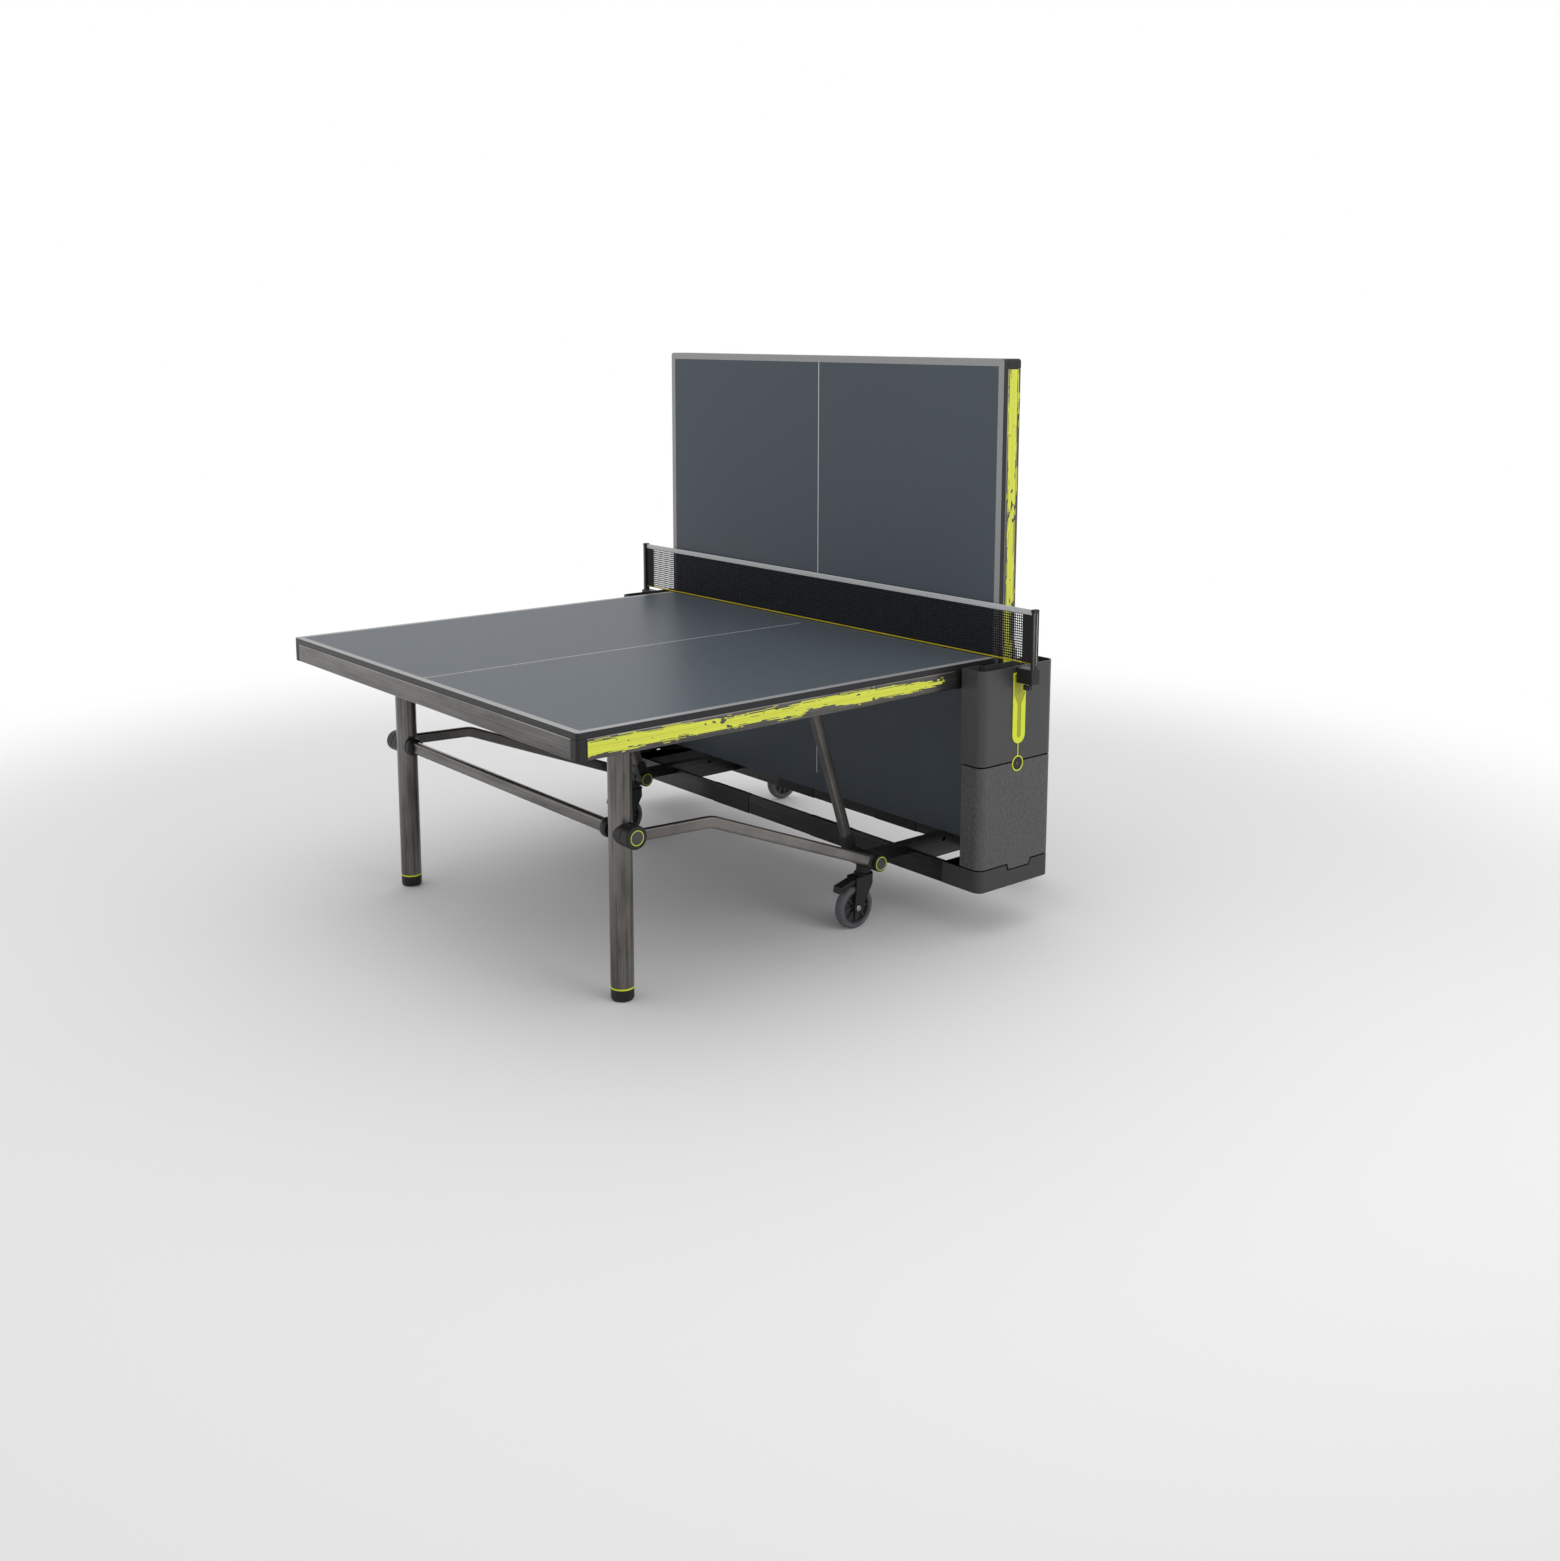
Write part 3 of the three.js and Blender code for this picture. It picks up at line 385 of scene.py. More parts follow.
MATERIALS = {
    "surface": playing_surface(),
    "line": line_paint("line_paint", 0.28),
    "fine_line": line_paint("fine_line_paint", 0.62),
    "edge": grained_plastic("edge_band", (0.014, 0.014, 0.016), 0.34),
    "underside": grained_plastic("board_underside", (0.022, 0.023, 0.025), 0.6),
    "steel": raw_steel("raw_steel", (0.060, 0.054, 0.048), (0.148, 0.139, 0.129)),
    "apron_steel": raw_steel("apron_steel", (0.045, 0.042, 0.039), (0.105, 0.100, 0.094)),
    # Pale steel for the posts' edge plates, and as a painted highlight on the aprons' top lip.
    "pale_steel_and_painted_highlight": raw_steel("pale_steel_and_painted_highlight", (0.12, 0.112, 0.10), (0.26, 0.245, 0.225)),
    "dark_steel": raw_steel("dark_steel", (0.018, 0.0175, 0.017), (0.040, 0.038, 0.037), (0.3, 0.45)),
    "black": grained_plastic("black_plastic", (0.012, 0.012, 0.013), 0.42),
    "grey": grained_plastic("smooth_grey_plastic", (0.041, 0.040, 0.043), 0.36, gloss=0.45),
    "tray": grained_plastic("tray_plastic", (0.036, 0.036, 0.038), 0.46),
    "pebble": pebbled_plastic(),
    "yellow": accent_yellow(),
    # The accent yellow darkened as painted shade, for the floor of the strip's recessed slot.
    "slot_painted_shade": accent_yellow("slot_yellow_painted_shade", (0.33, 0.34, 0.004)),
    "brush": brush_paint(),
    "rubber": rubber(),
    "yarn": net_yarn("net_yarn", (0.008, 0.008, 0.010)),
    "yellow_cord": net_yarn("yellow_cord", (0.62, 0.50, 0.02)),
    "band": net_yarn("side_band", (0.020, 0.018, 0.018)),
    "tape": woven_tape(),
    "zinc": raw_steel("zinc", (0.25, 0.25, 0.26), (0.45, 0.45, 0.46), (0.25, 0.4)),
}


# ---------- Solids, drawn in millimetres ----------
ACROSS = Matrix.Rotation(-math.pi / 2, 4, "X")  # turns the drawing's z to +Y
STILL = Matrix.Identity(4)
Y_AXIS = Vector((0, 1, 0))


def across(side):
    """Turns the drawing's z outwards on one side of the table."""
    return ACROSS if side > 0 else ACROSS.inverted()


def at(x, y, z, turned=STILL):
    return Matrix.Translation((x, y, z)) @ turned


def basis(origin, x_axis, y_axis):
    """Matrix of a drawing whose x and y run along two axes."""
    x_axis, y_axis = Vector(x_axis).normalized(), Vector(y_axis).normalized()
    columns = Matrix((x_axis, y_axis, x_axis.cross(y_axis))).transposed().to_4x4()
    return Matrix.Translation(origin) @ columns


def arc(cx, cy, radius, start, end, steps):
    """Points on an arc between two angles in degrees."""
    angles = [math.radians(start + (end - start) * i / steps) for i in range(steps + 1)]
    return [(cx + radius * math.cos(a), cy + radius * math.sin(a)) for a in angles]


def rounded_rectangle(x0, x1, y0, y1, radii, steps=6):
    """Outline with its own radius at each corner, from the lower left one round."""
    corners = ((x0, y0, 1, 1, 180), (x1, y0, -1, 1, 270), (x1, y1, -1, -1, 0), (x0, y1, 1, -1, 90))
    points = []
    for (x, y, dx, dy, start), r in zip(corners, radii):
        points += arc(x + dx * r, y + dy * r, r, start, start + 90, steps)
    return points


def loft(rings, closed=False, caps=True, lengths=None):
    """Skin over rings of equally many points. The lengths give each ring's place along a bent bar."""
    bm = bmesh.new()
    layer = bm.verts.layers.float_vector.new("design") if lengths else None
    rows = []
    for i, ring in enumerate(rings):
        row = [bm.verts.new(point) for point in ring]
        if lengths:
            for vert, (x, y, _) in zip(row, rings[0]):
                vert[layer] = Vector((x, y, lengths[i]))
        rows.append(row)
    pairs = list(zip(rows, rows[1:])) + ([(rows[-1], rows[0])] if closed else [])
    for low, high in pairs:
        for i in range(len(low)):
            k = (i + 1) % len(low)
            bm.faces.new((low[i], low[k], high[k], high[i]))
    if caps and not closed:
        bm.faces.new(reversed(rows[0]))
        bm.faces.new(rows[-1])
    bmesh.ops.recalc_face_normals(bm, faces=bm.faces)
    return bm


def lathe(profile, steps=48, closed=False):
    """A body turned about z from (radius, height) points."""
    turns = [2 * math.pi * i / steps for i in range(steps)]
    return loft([[(r * math.cos(t), r * math.sin(t), z) for t in turns] for r, z in profile], closed)


def round_edges(bm, width, segments=2, over=35):
    """Rounds each edge where the faces meet at more than an angle."""
    edges = [e for e in bm.edges if len(e.link_faces) == 2 and e.calc_face_angle(0) > math.radians(over)]
    bmesh.ops.bevel(
        bm, geom=edges, offset=width, segments=segments, profile=0.5, affect="EDGES", clamp_overlap=True
    )
    return bm


def slab(outline, z0, z1, bevel=1.0, segments=2):
    """An outline pulled up from z0 to z1, its edges rounded."""
    bm = loft([[(x, y, z) for x, y in outline] for z in (z0, z1)])
    return round_edges(bm, bevel, segments) if bevel else bm


def block(x0, x1, y0, y1, z0, z1, bevel=1.0, segments=2):
    outline = [(x0, y0), (x1, y0), (x1, y1), (x0, y1)]
    return slab(outline, z0, z1, bevel, segments)


def rod(radius, z0, z1, bevel=1.0, steps=40, bore=0):
    """A bar about z with rounded ends, or a sleeve where it has a bore."""
    b = bevel
    end = [(radius - b, z0), (radius - 0.3 * b, z0 + 0.3 * b), (radius, z0 + b)]
    far = [(radius, z1 - b), (radius - 0.3 * b, z1 - 0.3 * b), (radius - b, z1)]
    if bore:
        return lathe(end + far + [(bore, z1), (bore, z0)], steps, closed=True)
    return lathe(end + far, steps)


def bent_bar(section, places, radius, steps=10):
    """A bar of one section, bent once: places are its start, the corner and its end, in x and z."""
    start, corner, end = [Vector((x, 0, z)) for x, z in places]
    into, out = (corner - start).normalized(), (end - corner).normalized()
    angle = into.angle(out)
    back = radius * math.tan(angle / 2)
    first, last = corner - into * back, corner + out * back
    turn = 1 if into.cross(out).y > 0 else -1
    centre = first + Vector((into.z, 0, -into.x)) * radius * turn
    stations = [(start, into, 0.0), (first, into, (first - start).length)]
    for i in range(1, steps + 1):
        spin = Matrix.Rotation(angle * turn * i / steps, 3, "Y")
        length = stations[1][2] + radius * angle * i / steps
        stations.append((centre + spin @ (first - centre), spin @ into, length))
    stations.append((end, out, stations[-1][2] + (end - last).length))
    rings = []
    for place, along, _ in stations:
        up = Y_AXIS.cross(along)
        rings.append([place + up * u + Vector((0, v, 0)) for u, v in section])
    return loft(rings, lengths=[s[2] for s in stations])


def open_joint(point):
    """Draws a lower locker's foot and tab back from the tray, to show the joint as a dark line."""
    if point.z < tray_hi.z + 1.5:
        point.z += JOINT
        if abs(point.x) < DRAWN_BACK:
            point.x -= math.copysign(JOINT, point.x - (TAB[0] + TAB[1]) / 2)


def refined(node, width=1.0, segments=2, shape=None):
    """A CAD node's own shape with whole flat faces and rounded edges."""
    bm = bmesh.new()
    bm.from_mesh(bpy.data.objects[node].data)
    bmesh.ops.transform(bm, matrix=TO_SCENE.inverted(), verts=bm.verts)
    bmesh.ops.remove_doubles(bm, verts=bm.verts, dist=0.01)
    bmesh.ops.dissolve_limit(bm, angle_limit=math.radians(1), verts=bm.verts, edges=bm.edges)
    if shape:
        for vert in bm.verts:
            shape(vert.co)
    return round_edges(bm, width, segments)


def streaked(bm, axis):
    """The same solid with its finish's streaks running along x or y."""
    layer = bm.verts.layers.float_vector.new("design")
    for vert in bm.verts:
        vert[layer] = vert.co.zyx if axis == "x" else vert.co.xzy
    return bm


class Piece:
    """One shown object, put together from solids, that rides on a body."""

    def __init__(self, name, body, place=TO_SCENE, slot="black_plastic", replaces=None, smooth=40):
        self.name, self.body, self.place, self.slot = name, body, place, slot
        self.replaces, self.smooth = replaces, smooth
        self.points, self.drawn, self.faces, self.finishes, self.keys = [], [], [], [], []

    def add(self, solid, finish, where=STILL):
        """Takes a solid in. Its finish is a material's key, or a function of the face."""
        layer = solid.verts.layers.float_vector.get("design")
        whole = self.place @ where
        first = len(self.points)
        solid.verts.index_update()
        for vert in solid.verts:
            self.points.append(whole @ vert.co)
            self.drawn.append((vert[layer] if layer else vert.co) * MM)
        for face in solid.faces:
            corners = [first + v.index for v in face.verts]
            self.faces.append(corners if whole.determinant() > 0 else corners[::-1])
            key = finish(face) if callable(finish) else finish
            if key not in self.keys:
                self.keys.append(key)
            self.finishes.append(self.keys.index(key))
        solid.free()
        return self

    def done(self):
        mesh = bpy.data.meshes.new(self.name)
        mesh.from_pydata(self.points, [], self.faces)
        design = mesh.attributes.new("design", "FLOAT_VECTOR", "POINT")
        design.data.foreach_set("vector", [c for p in self.drawn for c in p])
        for key in self.keys:
            mesh.materials.append(MATERIALS[key])
        mesh.polygons.foreach_set("material_index", self.finishes)
        mesh.polygons.foreach_set("use_smooth", [True] * len(self.faces))
        mesh.set_sharp_from_angle(angle=math.radians(self.smooth))
        obj = bpy.data.objects.new(self.name, mesh)
        bpy.context.scene.collection.objects.link(obj)
        weigh = obj.modifiers.new("weigh_normals", "WEIGHTED_NORMAL")
        weigh.keep_sharp = True
        weigh.weight = 90
        bpy.context.view_layer.update()
        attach(obj, self.body)
        if self.replaces:
            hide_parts(*self.replaces)
        return obj


def model(node, body, place=TO_SCENE, slot="black_plastic"):
    """The piece that stands for one CAD node."""
    return Piece(f"{node}_model", body, place, slot, replaces=(node,))


# ---------- The two halves ----------
def place_of(tag, body):
    return TO_SCENE if tag == "a" else half_b_place(body) @ TO_SCENE


def sides_of(tag):
    """Side names with the side of the drawing: the folded half is drawn down, and so turned round."""
    return (("left", 1), ("right", -1)) if tag == "a" else (("left", -1), ("right", 1))


def u_section():
    """The apron's folded sheet, open upwards: x is outwards and y is up."""
    w, h, t, r = APRON, apron_hi.z - apron_lo.z, 2.5, 4
    lip = [(w - t, h), (w - 1.5, h), (w - 0.4, h - 0.6), (w, h - 3)]
    folds = arc(w - r, r, r, 0, -90, 5) + arc(r, r, r, -90, -180, 5)
    return lip + folds + [(0, h), (t, h), (t, t), (w - t, t)]


def board(tag):
    body = f"half_{tag}"
    outline = rounded_rectangle(board_lo.x, board_hi.x, board_lo.y, board_hi.y, (9, 2, 2, 9), 5)
    bm = slab(outline, board_lo.z, board_hi.z, EDGE, 2)
    side = board_hi.y - LINE
    cuts = [((x, 0, 0), (1, 0, 0)) for x in (board_lo.x + LINE, -CENTRE_STOP)]
    cuts += [((0, y, 0), (0, 1, 0)) for y in (-side, side, -CENTRE_LINE / 2, CENTRE_LINE / 2)]
    for place, normal in cuts:
        whole = bm.verts[:] + bm.edges[:] + bm.faces[:]
        bmesh.ops.bisect_plane(bm, geom=whole, plane_co=place, plane_no=normal)

    def finish(face):
        middle = face.calc_center_median()
        if face.normal.z < -0.5:
            return "underside"
        if face.normal.z < 0.6:
            return "edge"
        border = abs(middle.y) > side or middle.x < board_lo.x + LINE
        centre = abs(middle.y) < CENTRE_LINE / 2 and middle.x < -CENTRE_STOP
        return "line" if border else "fine_line" if centre else "surface"

    piece = model(f"top_panel_{tag}", body, place_of(tag, body), "playing_surface")
    piece.add(bm, finish).done()


def ears(piece, x, y, z, towards, radius, half_gap):
    """Two ears and their pin on a cross member that lies towards the net (1) or away from it (-1)."""
    back = MEMBER_OFFSET + 1
    low, high = apron_hi.z - MEMBER_H + 2 - z, apron_hi.z - 1 - z
    outline = arc(0, 0, radius, 90, 270, 12) + [(back, low), (back, high)]
    if towards < 0:
        outline = [(-u, v) for u, v in outline][::-1]
    for edge in (-1, 1):
        plate = slab(outline, -EAR_THICK / 2, EAR_THICK / 2, 0.8)
        place = y + edge * (half_gap + EAR_STAND)
        piece.add(plate, "apron_steel", basis((x, place, z), (1, 0, 0), (0, 0, 1)))
        piece.add(rod(8, 0, 4, 1.2, 24), "zinc", at(x, y + edge * (half_gap + 5.5), z, across(edge)))
    piece.add(rod(5, -half_gap - 6, half_gap + 6, 0.5, 24), "zinc", at(x, y, z, ACROSS))


def apron_frame(tag):
    body = f"half_{tag}"
    piece = model(f"apron_frame_{tag}", body, place_of(tag, body), "raw_steel")
    corner = corner_hi.x - corner_lo.x + 0.3
    x0, x1 = apron_lo.x, apron_hi.x
    half = apron_hi.y
    z, top = apron_lo.z, apron_hi.z
    section = u_section()

    def finish(face):
        # The lip's rounded outer top edge takes the pale steel as a painted highlight; all other faces are
        # apron steel.
        return "pale_steel_and_painted_highlight" if face.normal.x > 0.2 and face.normal.y > 0.1 else "apron_steel"

    bars = (
        ((x0 + corner, half - APRON, z), (0, 1, 0), x1 - x0 - corner),
        ((x1, APRON - half, z), (0, -1, 0), x1 - x0 - corner),
        ((x0 + APRON, corner - half, z), (-1, 0, 0), 2 * (half - corner)),
        ((x1 - APRON, half - APRON, z), (1, 0, 0), 2 * (half - APRON)),
    )
    for origin, outward, length in bars:
        piece.add(slab(section, 0, length, 0), finish, basis(origin, outward, (0, 0, 1)))
    for side in (-1, 1):
        y0, y1 = sorted((side * (half - APRON - 0.6), side * (half + 0.5)))
        piece.add(block(-END_CAP, x1 - 0.2, y0, y1, z - 0.6, top, 1.6, 3), "black")

    reach = half - APRON + 1
    middle = basis((0, 0, top - MEMBER_H / 2), (0, 0, 1), (1, 0, 0))
    hinges = (
        (LEG_HINGE, 1, LEG_Y, 15),
        (STRUT_TOP, -1, (strut_lo.y + strut_hi.y) / 2, 12),
    )
    for hinge, towards, y, half_gap in hinges:
        near, far = sorted(hinge.x + towards * d for d in (MEMBER_OFFSET, MEMBER_OFFSET + MEMBER))
        member = block(-MEMBER_H / 2, MEMBER_H / 2, near, far, -reach, reach, 3, 3)
        piece.add(member, "apron_steel", middle)
        for side in (-1, 1):
            ears(piece, hinge.x, side * y, hinge.z, towards, EYE_R, half_gap)
    for side in (-1, 1):
        gusset = [(x0 + corner, half - APRON), (x0 + corner, half - 90), (x0 + 90, half - APRON)]
        if side < 0:
            gusset = [(x, -y) for x, y in gusset][::-1]
        piece.add(slab(gusset, z + 4, z + 7, 0.6), "apron_steel")
        for x, y in ((x0 + 48, half - 30), (x0 + 34, half - 50)):
            piece.add(rod(4.5, z + 2.2, z + 5, 1, 12), "zinc", at(x, side * y, 0))
    piece.done()


BAND_EDGES = (  # share along the band, lower and upper edge as shares of the apron's height
    (0.00, 0.12, 0.91), (0.10, 0.16, 0.93), (0.18, 0.25, 0.93), (0.28, 0.16, 0.86), (0.40, 0.29, 0.78),
    (0.53, 0.16, 0.85), (0.545, 0.42, 0.88), (0.62, 0.36, 0.93), (0.67, 0.18, 0.90), (0.76, 0.28, 0.83),
    (0.84, 0.25, 0.80), (0.90, 0.36, 0.74), (0.96, 0.44, 0.66),
)


def band_edge(t, which):
    """Lower (1) or upper (2) edge of the band at a share of its length."""
    for a, b in zip(BAND_EDGES, BAND_EDGES[1:]):
        if t <= b[0]:
            f = (t - a[0]) / (b[0] - a[0])
            return a[which] + (b[which] - a[which]) * f
    return 0.5


def brush_band(tag, side):
    """A dry-brushed band on the apron's long face: bristle rows that fray and break up."""
    body = f"half_{tag}"
    piece = Piece(f"brush_band_{tag}_{'left' if side > 0 else 'right'}", body, place_of(tag, body),
                  "playing_surface")
    height = apron_hi.z - apron_lo.z
    rows = 30
    film = 0.25
    start = corner_hi.x + 2
    end = -140
    length = end - start
    spans = 520
    seed = 3.7 if side > 0 else 9.1
    islands = ((0.325, 0.035, 0.42), (0.93, 0.045, 0.42), (0.70, 0.02, 0.2))  # place, reach, thinning

    def painted(t, v):
        """Whether the film covers the point at share t along and v up the apron."""
        ragged = 0.07 * noise.noise(Vector((t * 24, seed, 0))) + 0.03 * noise.noise(Vector((t * 80, seed, 4)))
        fray = 0.24 * noise.noise(Vector((t * 16, v * 40, seed)))
        fray += 0.06 * noise.noise(Vector((t * 60, v * 60, seed)))
        low = band_edge(t, 1) + ragged + fray
        high = band_edge(t, 2) + 0.6 * ragged - fray
        if not low < v < high or t > 0.95 + 0.03 * noise.noise(Vector((v * 24, seed, 3))):
            return False
        edge = min(v - low, high - v) / 0.16
        thin = sum(depth * math.exp(-(((t - at_t) / reach) ** 2)) for at_t, reach, depth in islands)
        blot = noise.noise(Vector((t * 70, v * 5, seed + 5)))
        if blot > 0.62 - thin:
            return False
        streak = noise.noise(Vector((t * 11, v * 34, seed + 11)))
        return streak < 0.20 + 0.6 * min(edge, 1)

    bm = bmesh.new()
    grid = {}

    def corner(i, j, lift):
        key = (i, j, lift)
        if key not in grid:
            x = start + length * i / spans
            z = apron_lo.z + 2.5 + (height - 5) * j / rows
            grid[key] = bm.verts.new((x, side * (apron_hi.y + (film if lift else -0.3)), z))
        return grid[key]

    cells = {
        (i, j)
        for i in range(spans)
        for j in range(rows)
        if painted((i + 0.5) / spans, (j + 0.5) / rows)
    }
    for i, j in sorted(cells):
        top = [corner(i, j, 1), corner(i + 1, j, 1), corner(i + 1, j + 1, 1), corner(i, j + 1, 1)]
        under = [corner(i, j, 0), corner(i + 1, j, 0), corner(i + 1, j + 1, 0), corner(i, j + 1, 0)]
        bm.faces.new(top)
        bm.faces.new(under[::-1])
        sides = (((i, j - 1), 0, 1), ((i + 1, j), 1, 2), ((i, j + 1), 2, 3), ((i - 1, j), 3, 0))
        for other, a, b in sides:
            if other not in cells:
                bm.faces.new((under[a], under[b], top[b], top[a]))
    bmesh.ops.recalc_face_normals(bm, faces=bm.faces)
    layer = bm.verts.layers.float_vector.new("design")
    for vert in bm.verts:
        vert[layer] = Vector((vert.co.x * 0.06, 0, vert.co.z))
    piece.add(bm, "brush")
    return piece.done()


def leg(tag, name, side, place):
    y = side * LEG_Y
    piece = model(f"leg_{tag}_{name}", f"legs_{tag}", place, "raw_steel")
    foot_top = foot_hi.z - FOOT_NECK
    piece.add(rod(LEG_R, foot_top + 0.3, LEG_TOP - 6, 0.6, 72, bore=LEG_BORE), "steel", at(HUB.x, y, 0))
    cap = [(20, LEG_TOP - 9), (LEG_R - 0.4, LEG_TOP - 8), (LEG_R + 0.4, LEG_TOP - 7),
           (LEG_R + 0.4, LEG_TOP - 3), (LEG_R - 2, LEG_TOP + 0.5), (12, LEG_TOP + 2)]
    piece.add(lathe(cap, 48), "black", at(HUB.x, y, 0))
    eye = arc(LEG_HINGE.x - HUB.x, LEG_HINGE.z, EYE_R, 0, 110, 8)
    outline = [(-16, LEG_TOP - 1), (37, LEG_TOP - 1)] + eye + [(4, LEG_TOP + 12), (-16, LEG_TOP + 9)]
    hinge_block = slab(outline, -15, 15, 1.6, 3)
    piece.add(hinge_block, "black", basis((HUB.x, y, 0), (1, 0, 0), (0, 0, 1)))
    reach = leg_hi.y - LEG_Y
    boss = [(HUB_R - 1, 8), (HUB_R, 18), (HUB_R, reach - 1), (HUB_R - 1, reach)]
    piece.add(lathe(boss, 48), "black", at(HUB.x, y, HUB.z, across(side)))
    piece.done()


def foot(tag, name, side):
    body = f"foot_{tag}_{name}"
    piece = model(body, body, place_of(tag, body))
    where = at(HUB.x, side * LEG_Y, 0)
    profile = [(LEG_R - 7, 0), (LEG_R - 4, 0.8), (LEG_R - 2, 3.2), (LEG_R - 0.6, 6)]
    for z in (9, 14, 19, 24):
        groove = ((0.2, 0), (0.9, 0.7), (0.9, 1.5), (0.2, 2.2))
        profile += [(LEG_R - depth, z + rise) for depth, rise in groove]
    profile += [(LEG_R - 0.2, 31.4)]
    piece.add(lathe(profile, 72), "black", where)
    ring = [(LEG_R - 1, 31.2), (LEG_R + 0.3, 31.8), (LEG_R + 0.3, 35.2), (LEG_R - 1, 36)]
    piece.add(lathe(ring, 72), "yellow", where)
    piece.add(rod(27.5, 35, foot_hi.z, 2, 32), "black", where)
    piece.done()


def crossbar(tag, place):
    piece = model(f"crossbar_{tag}", f"legs_{tag}", place, "raw_steel")
    reach = bar_hi.y
    section = rounded_rectangle(-11, 11, -18, 18, (9, 9, 9, 9), 6)
    piece.add(slab(section, -reach, reach, 0), "steel", basis((HUB.x, 0, HUB.z), (-1, 0, 0), (0, 0, 1)))
    collar = (  # radius, and distance from the bar's end
        (15, 31), (21, 29), (25, 25), (26, 21), (26, 9), (24.5, 8), (24.5, 6), (26, 5), (26, 1.5), (24, 0),
    )
    for side in (-1, 1):
        profile = [(radius, reach - back) for radius, back in collar]
        piece.add(lathe(profile, 48), "black", at(HUB.x, 0, HUB.z, across(side)))
    piece.done()


def leg_set(tag):
    place = place_of(tag, f"legs_{tag}")
    for name, side in sides_of(tag):
        leg(tag, name, side, place)
        foot(tag, name, side)
    crossbar(tag, place)


def cap_disc(piece, where, radius):
    """The end cap of a pivot: a grey disc inside a yellow ring, in a stepped black cup."""
    cup = [(radius - 2, -4), (radius - 0.4, -2), (radius - 0.4, 0), (radius - 1.6, 1.2), (RING_R + 2.6, 1.4)]
    piece.add(lathe([(radius - 6, -6)] + cup, 64), "black", where)
    r, w = RING_R, RING_W / 2
    ring = [(r - w, 0.6), (r - w, 1.9), (r - w + 0.5, 2.3), (r + w - 0.5, 2.3), (r + w, 1.9), (r + w, 0.6)]
    piece.add(lathe(ring, 64, closed=True), "yellow", where)
    disc = [(r - w - 0.4, 0.6), (r - w - 0.6, 1.5), (r - w - 1.6, 2.0), (4, 2.2)]
    piece.add(lathe(disc, 64), "grey", where)


def mirrored(side):
    return STILL if side > 0 else Matrix.Scale(-1, 4, Y_AXIS)


def link_set(tag):
    """The bent links from the legs' hubs to the base."""
    body = f"links_{tag}"
    place = place_of(tag, body)
    inner = link_lo.y
    section = rounded_rectangle(-LINK_TALL / 2, LINK_TALL / 2, 0, LINK_THICK, (7, 7, 7, 7), 6)
    corner = HUB + LINK_BEND
    route = [(HUB.x, HUB.z), (corner.x, corner.z), (PIVOT.x, PIVOT.z)]
    sockets = (  # centre, radius of the eye, half height, start and end of the socket
        (HUB, HUB_R, 18, 4, 32),
        (PIVOT, PIVOT_R, 19, 6, 40),
    )
    for name, side in sides_of(tag):
        flip = mirrored(side)
        piece = model(f"link_{tag}_{name}", body, place, "raw_steel")
        bar = bent_bar([(u, v + inner + 4) for u, v in section], route, LINK_BEND_R)
        piece.add(bar, "steel", flip)
        for centre, radius, *_ in sockets:
            eye = [(radius - 3, inner), (radius - 0.6, inner + 0.4),
                   (radius, inner + 1.4), (radius, inner + 27)]
            piece.add(lathe(eye, 64), "black", flip @ at(centre.x, 0, centre.z, ACROSS))
            cap_disc(piece, flip @ at(centre.x, link_hi.y - CAP_FACE, centre.z, ACROSS), radius)
        for centre, _, half, start, end in sockets:
            out = Vector((corner.x - centre.x, 0, corner.z - centre.z)).normalized()
            origin = (centre.x + out.x * start, inner + 3, centre.z + out.z * start)
            socket = block(-half, half, 0, end - start, 0, 18, 4, 3)
            piece.add(socket, "black", flip @ basis(origin, out.cross(Y_AXIS), out))
        piece.done()


def strut_set(tag):
    """The struts from the base to the board's frame."""
    body = f"struts_{tag}"
    place = place_of(tag, body)
    run = STRUT_TOP - PIVOT
    along = run.normalized()
    outer = strut_hi.y
    inner = outer - STRUT_THICK
    section = rounded_rectangle(-STRUT_WIDE / 2, STRUT_WIDE / 2, 0, STRUT_THICK, (6, 6, 6, 6), 6)
    foot_of = basis((PIVOT.x, inner, PIVOT.z), Y_AXIS.cross(along), Y_AXIS)
    up = basis((PIVOT.x, 0, PIVOT.z), along.cross(Y_AXIS), along)
    down = basis((STRUT_TOP.x, 0, STRUT_TOP.z), along.cross(Y_AXIS), -along)
    for name, side in sides_of(tag):
        flip = mirrored(side)
        piece = model(f"strut_{tag}_{name}", body, place, "raw_steel")
        piece.add(slab(section, 14, run.length - 8, 0), "steel", flip @ foot_of)
        socket = slab(rounded_rectangle(-16.5, 16.5, 4, 62, (6, 6, 9, 9), 5), inner - 3, outer + 1, 1.6, 2)
        piece.add(socket, "black", flip @ up)
        eye = [(11, inner), (13, inner + 2), (13, outer - 2), (11, outer)]
        piece.add(lathe(eye, 40), "black", flip @ at(STRUT_TOP.x, 0, STRUT_TOP.z, ACROSS))
        tip = slab(rounded_rectangle(-13, 13, 0, 34, (4, 4, 4, 4), 4), 1 - outer, -1 - inner, 1.2, 2)
        piece.add(tip, "black", flip @ down)
        cup = [(PIVOT_R - 1, 489), (PIVOT_R, 491), (PIVOT_R, outer - 3), (PIVOT_R - 2, outer - 0.5)]
        piece.add(lathe(cup, 56), "black", flip @ at(PIVOT.x, 0, PIVOT.z, ACROSS))
        inwards = at(PIVOT.x, strut_lo.y + CAP_FACE, PIVOT.z, ACROSS.inverted())
        cap_disc(piece, flip @ inwards, PIVOT_R)
        piece.done()


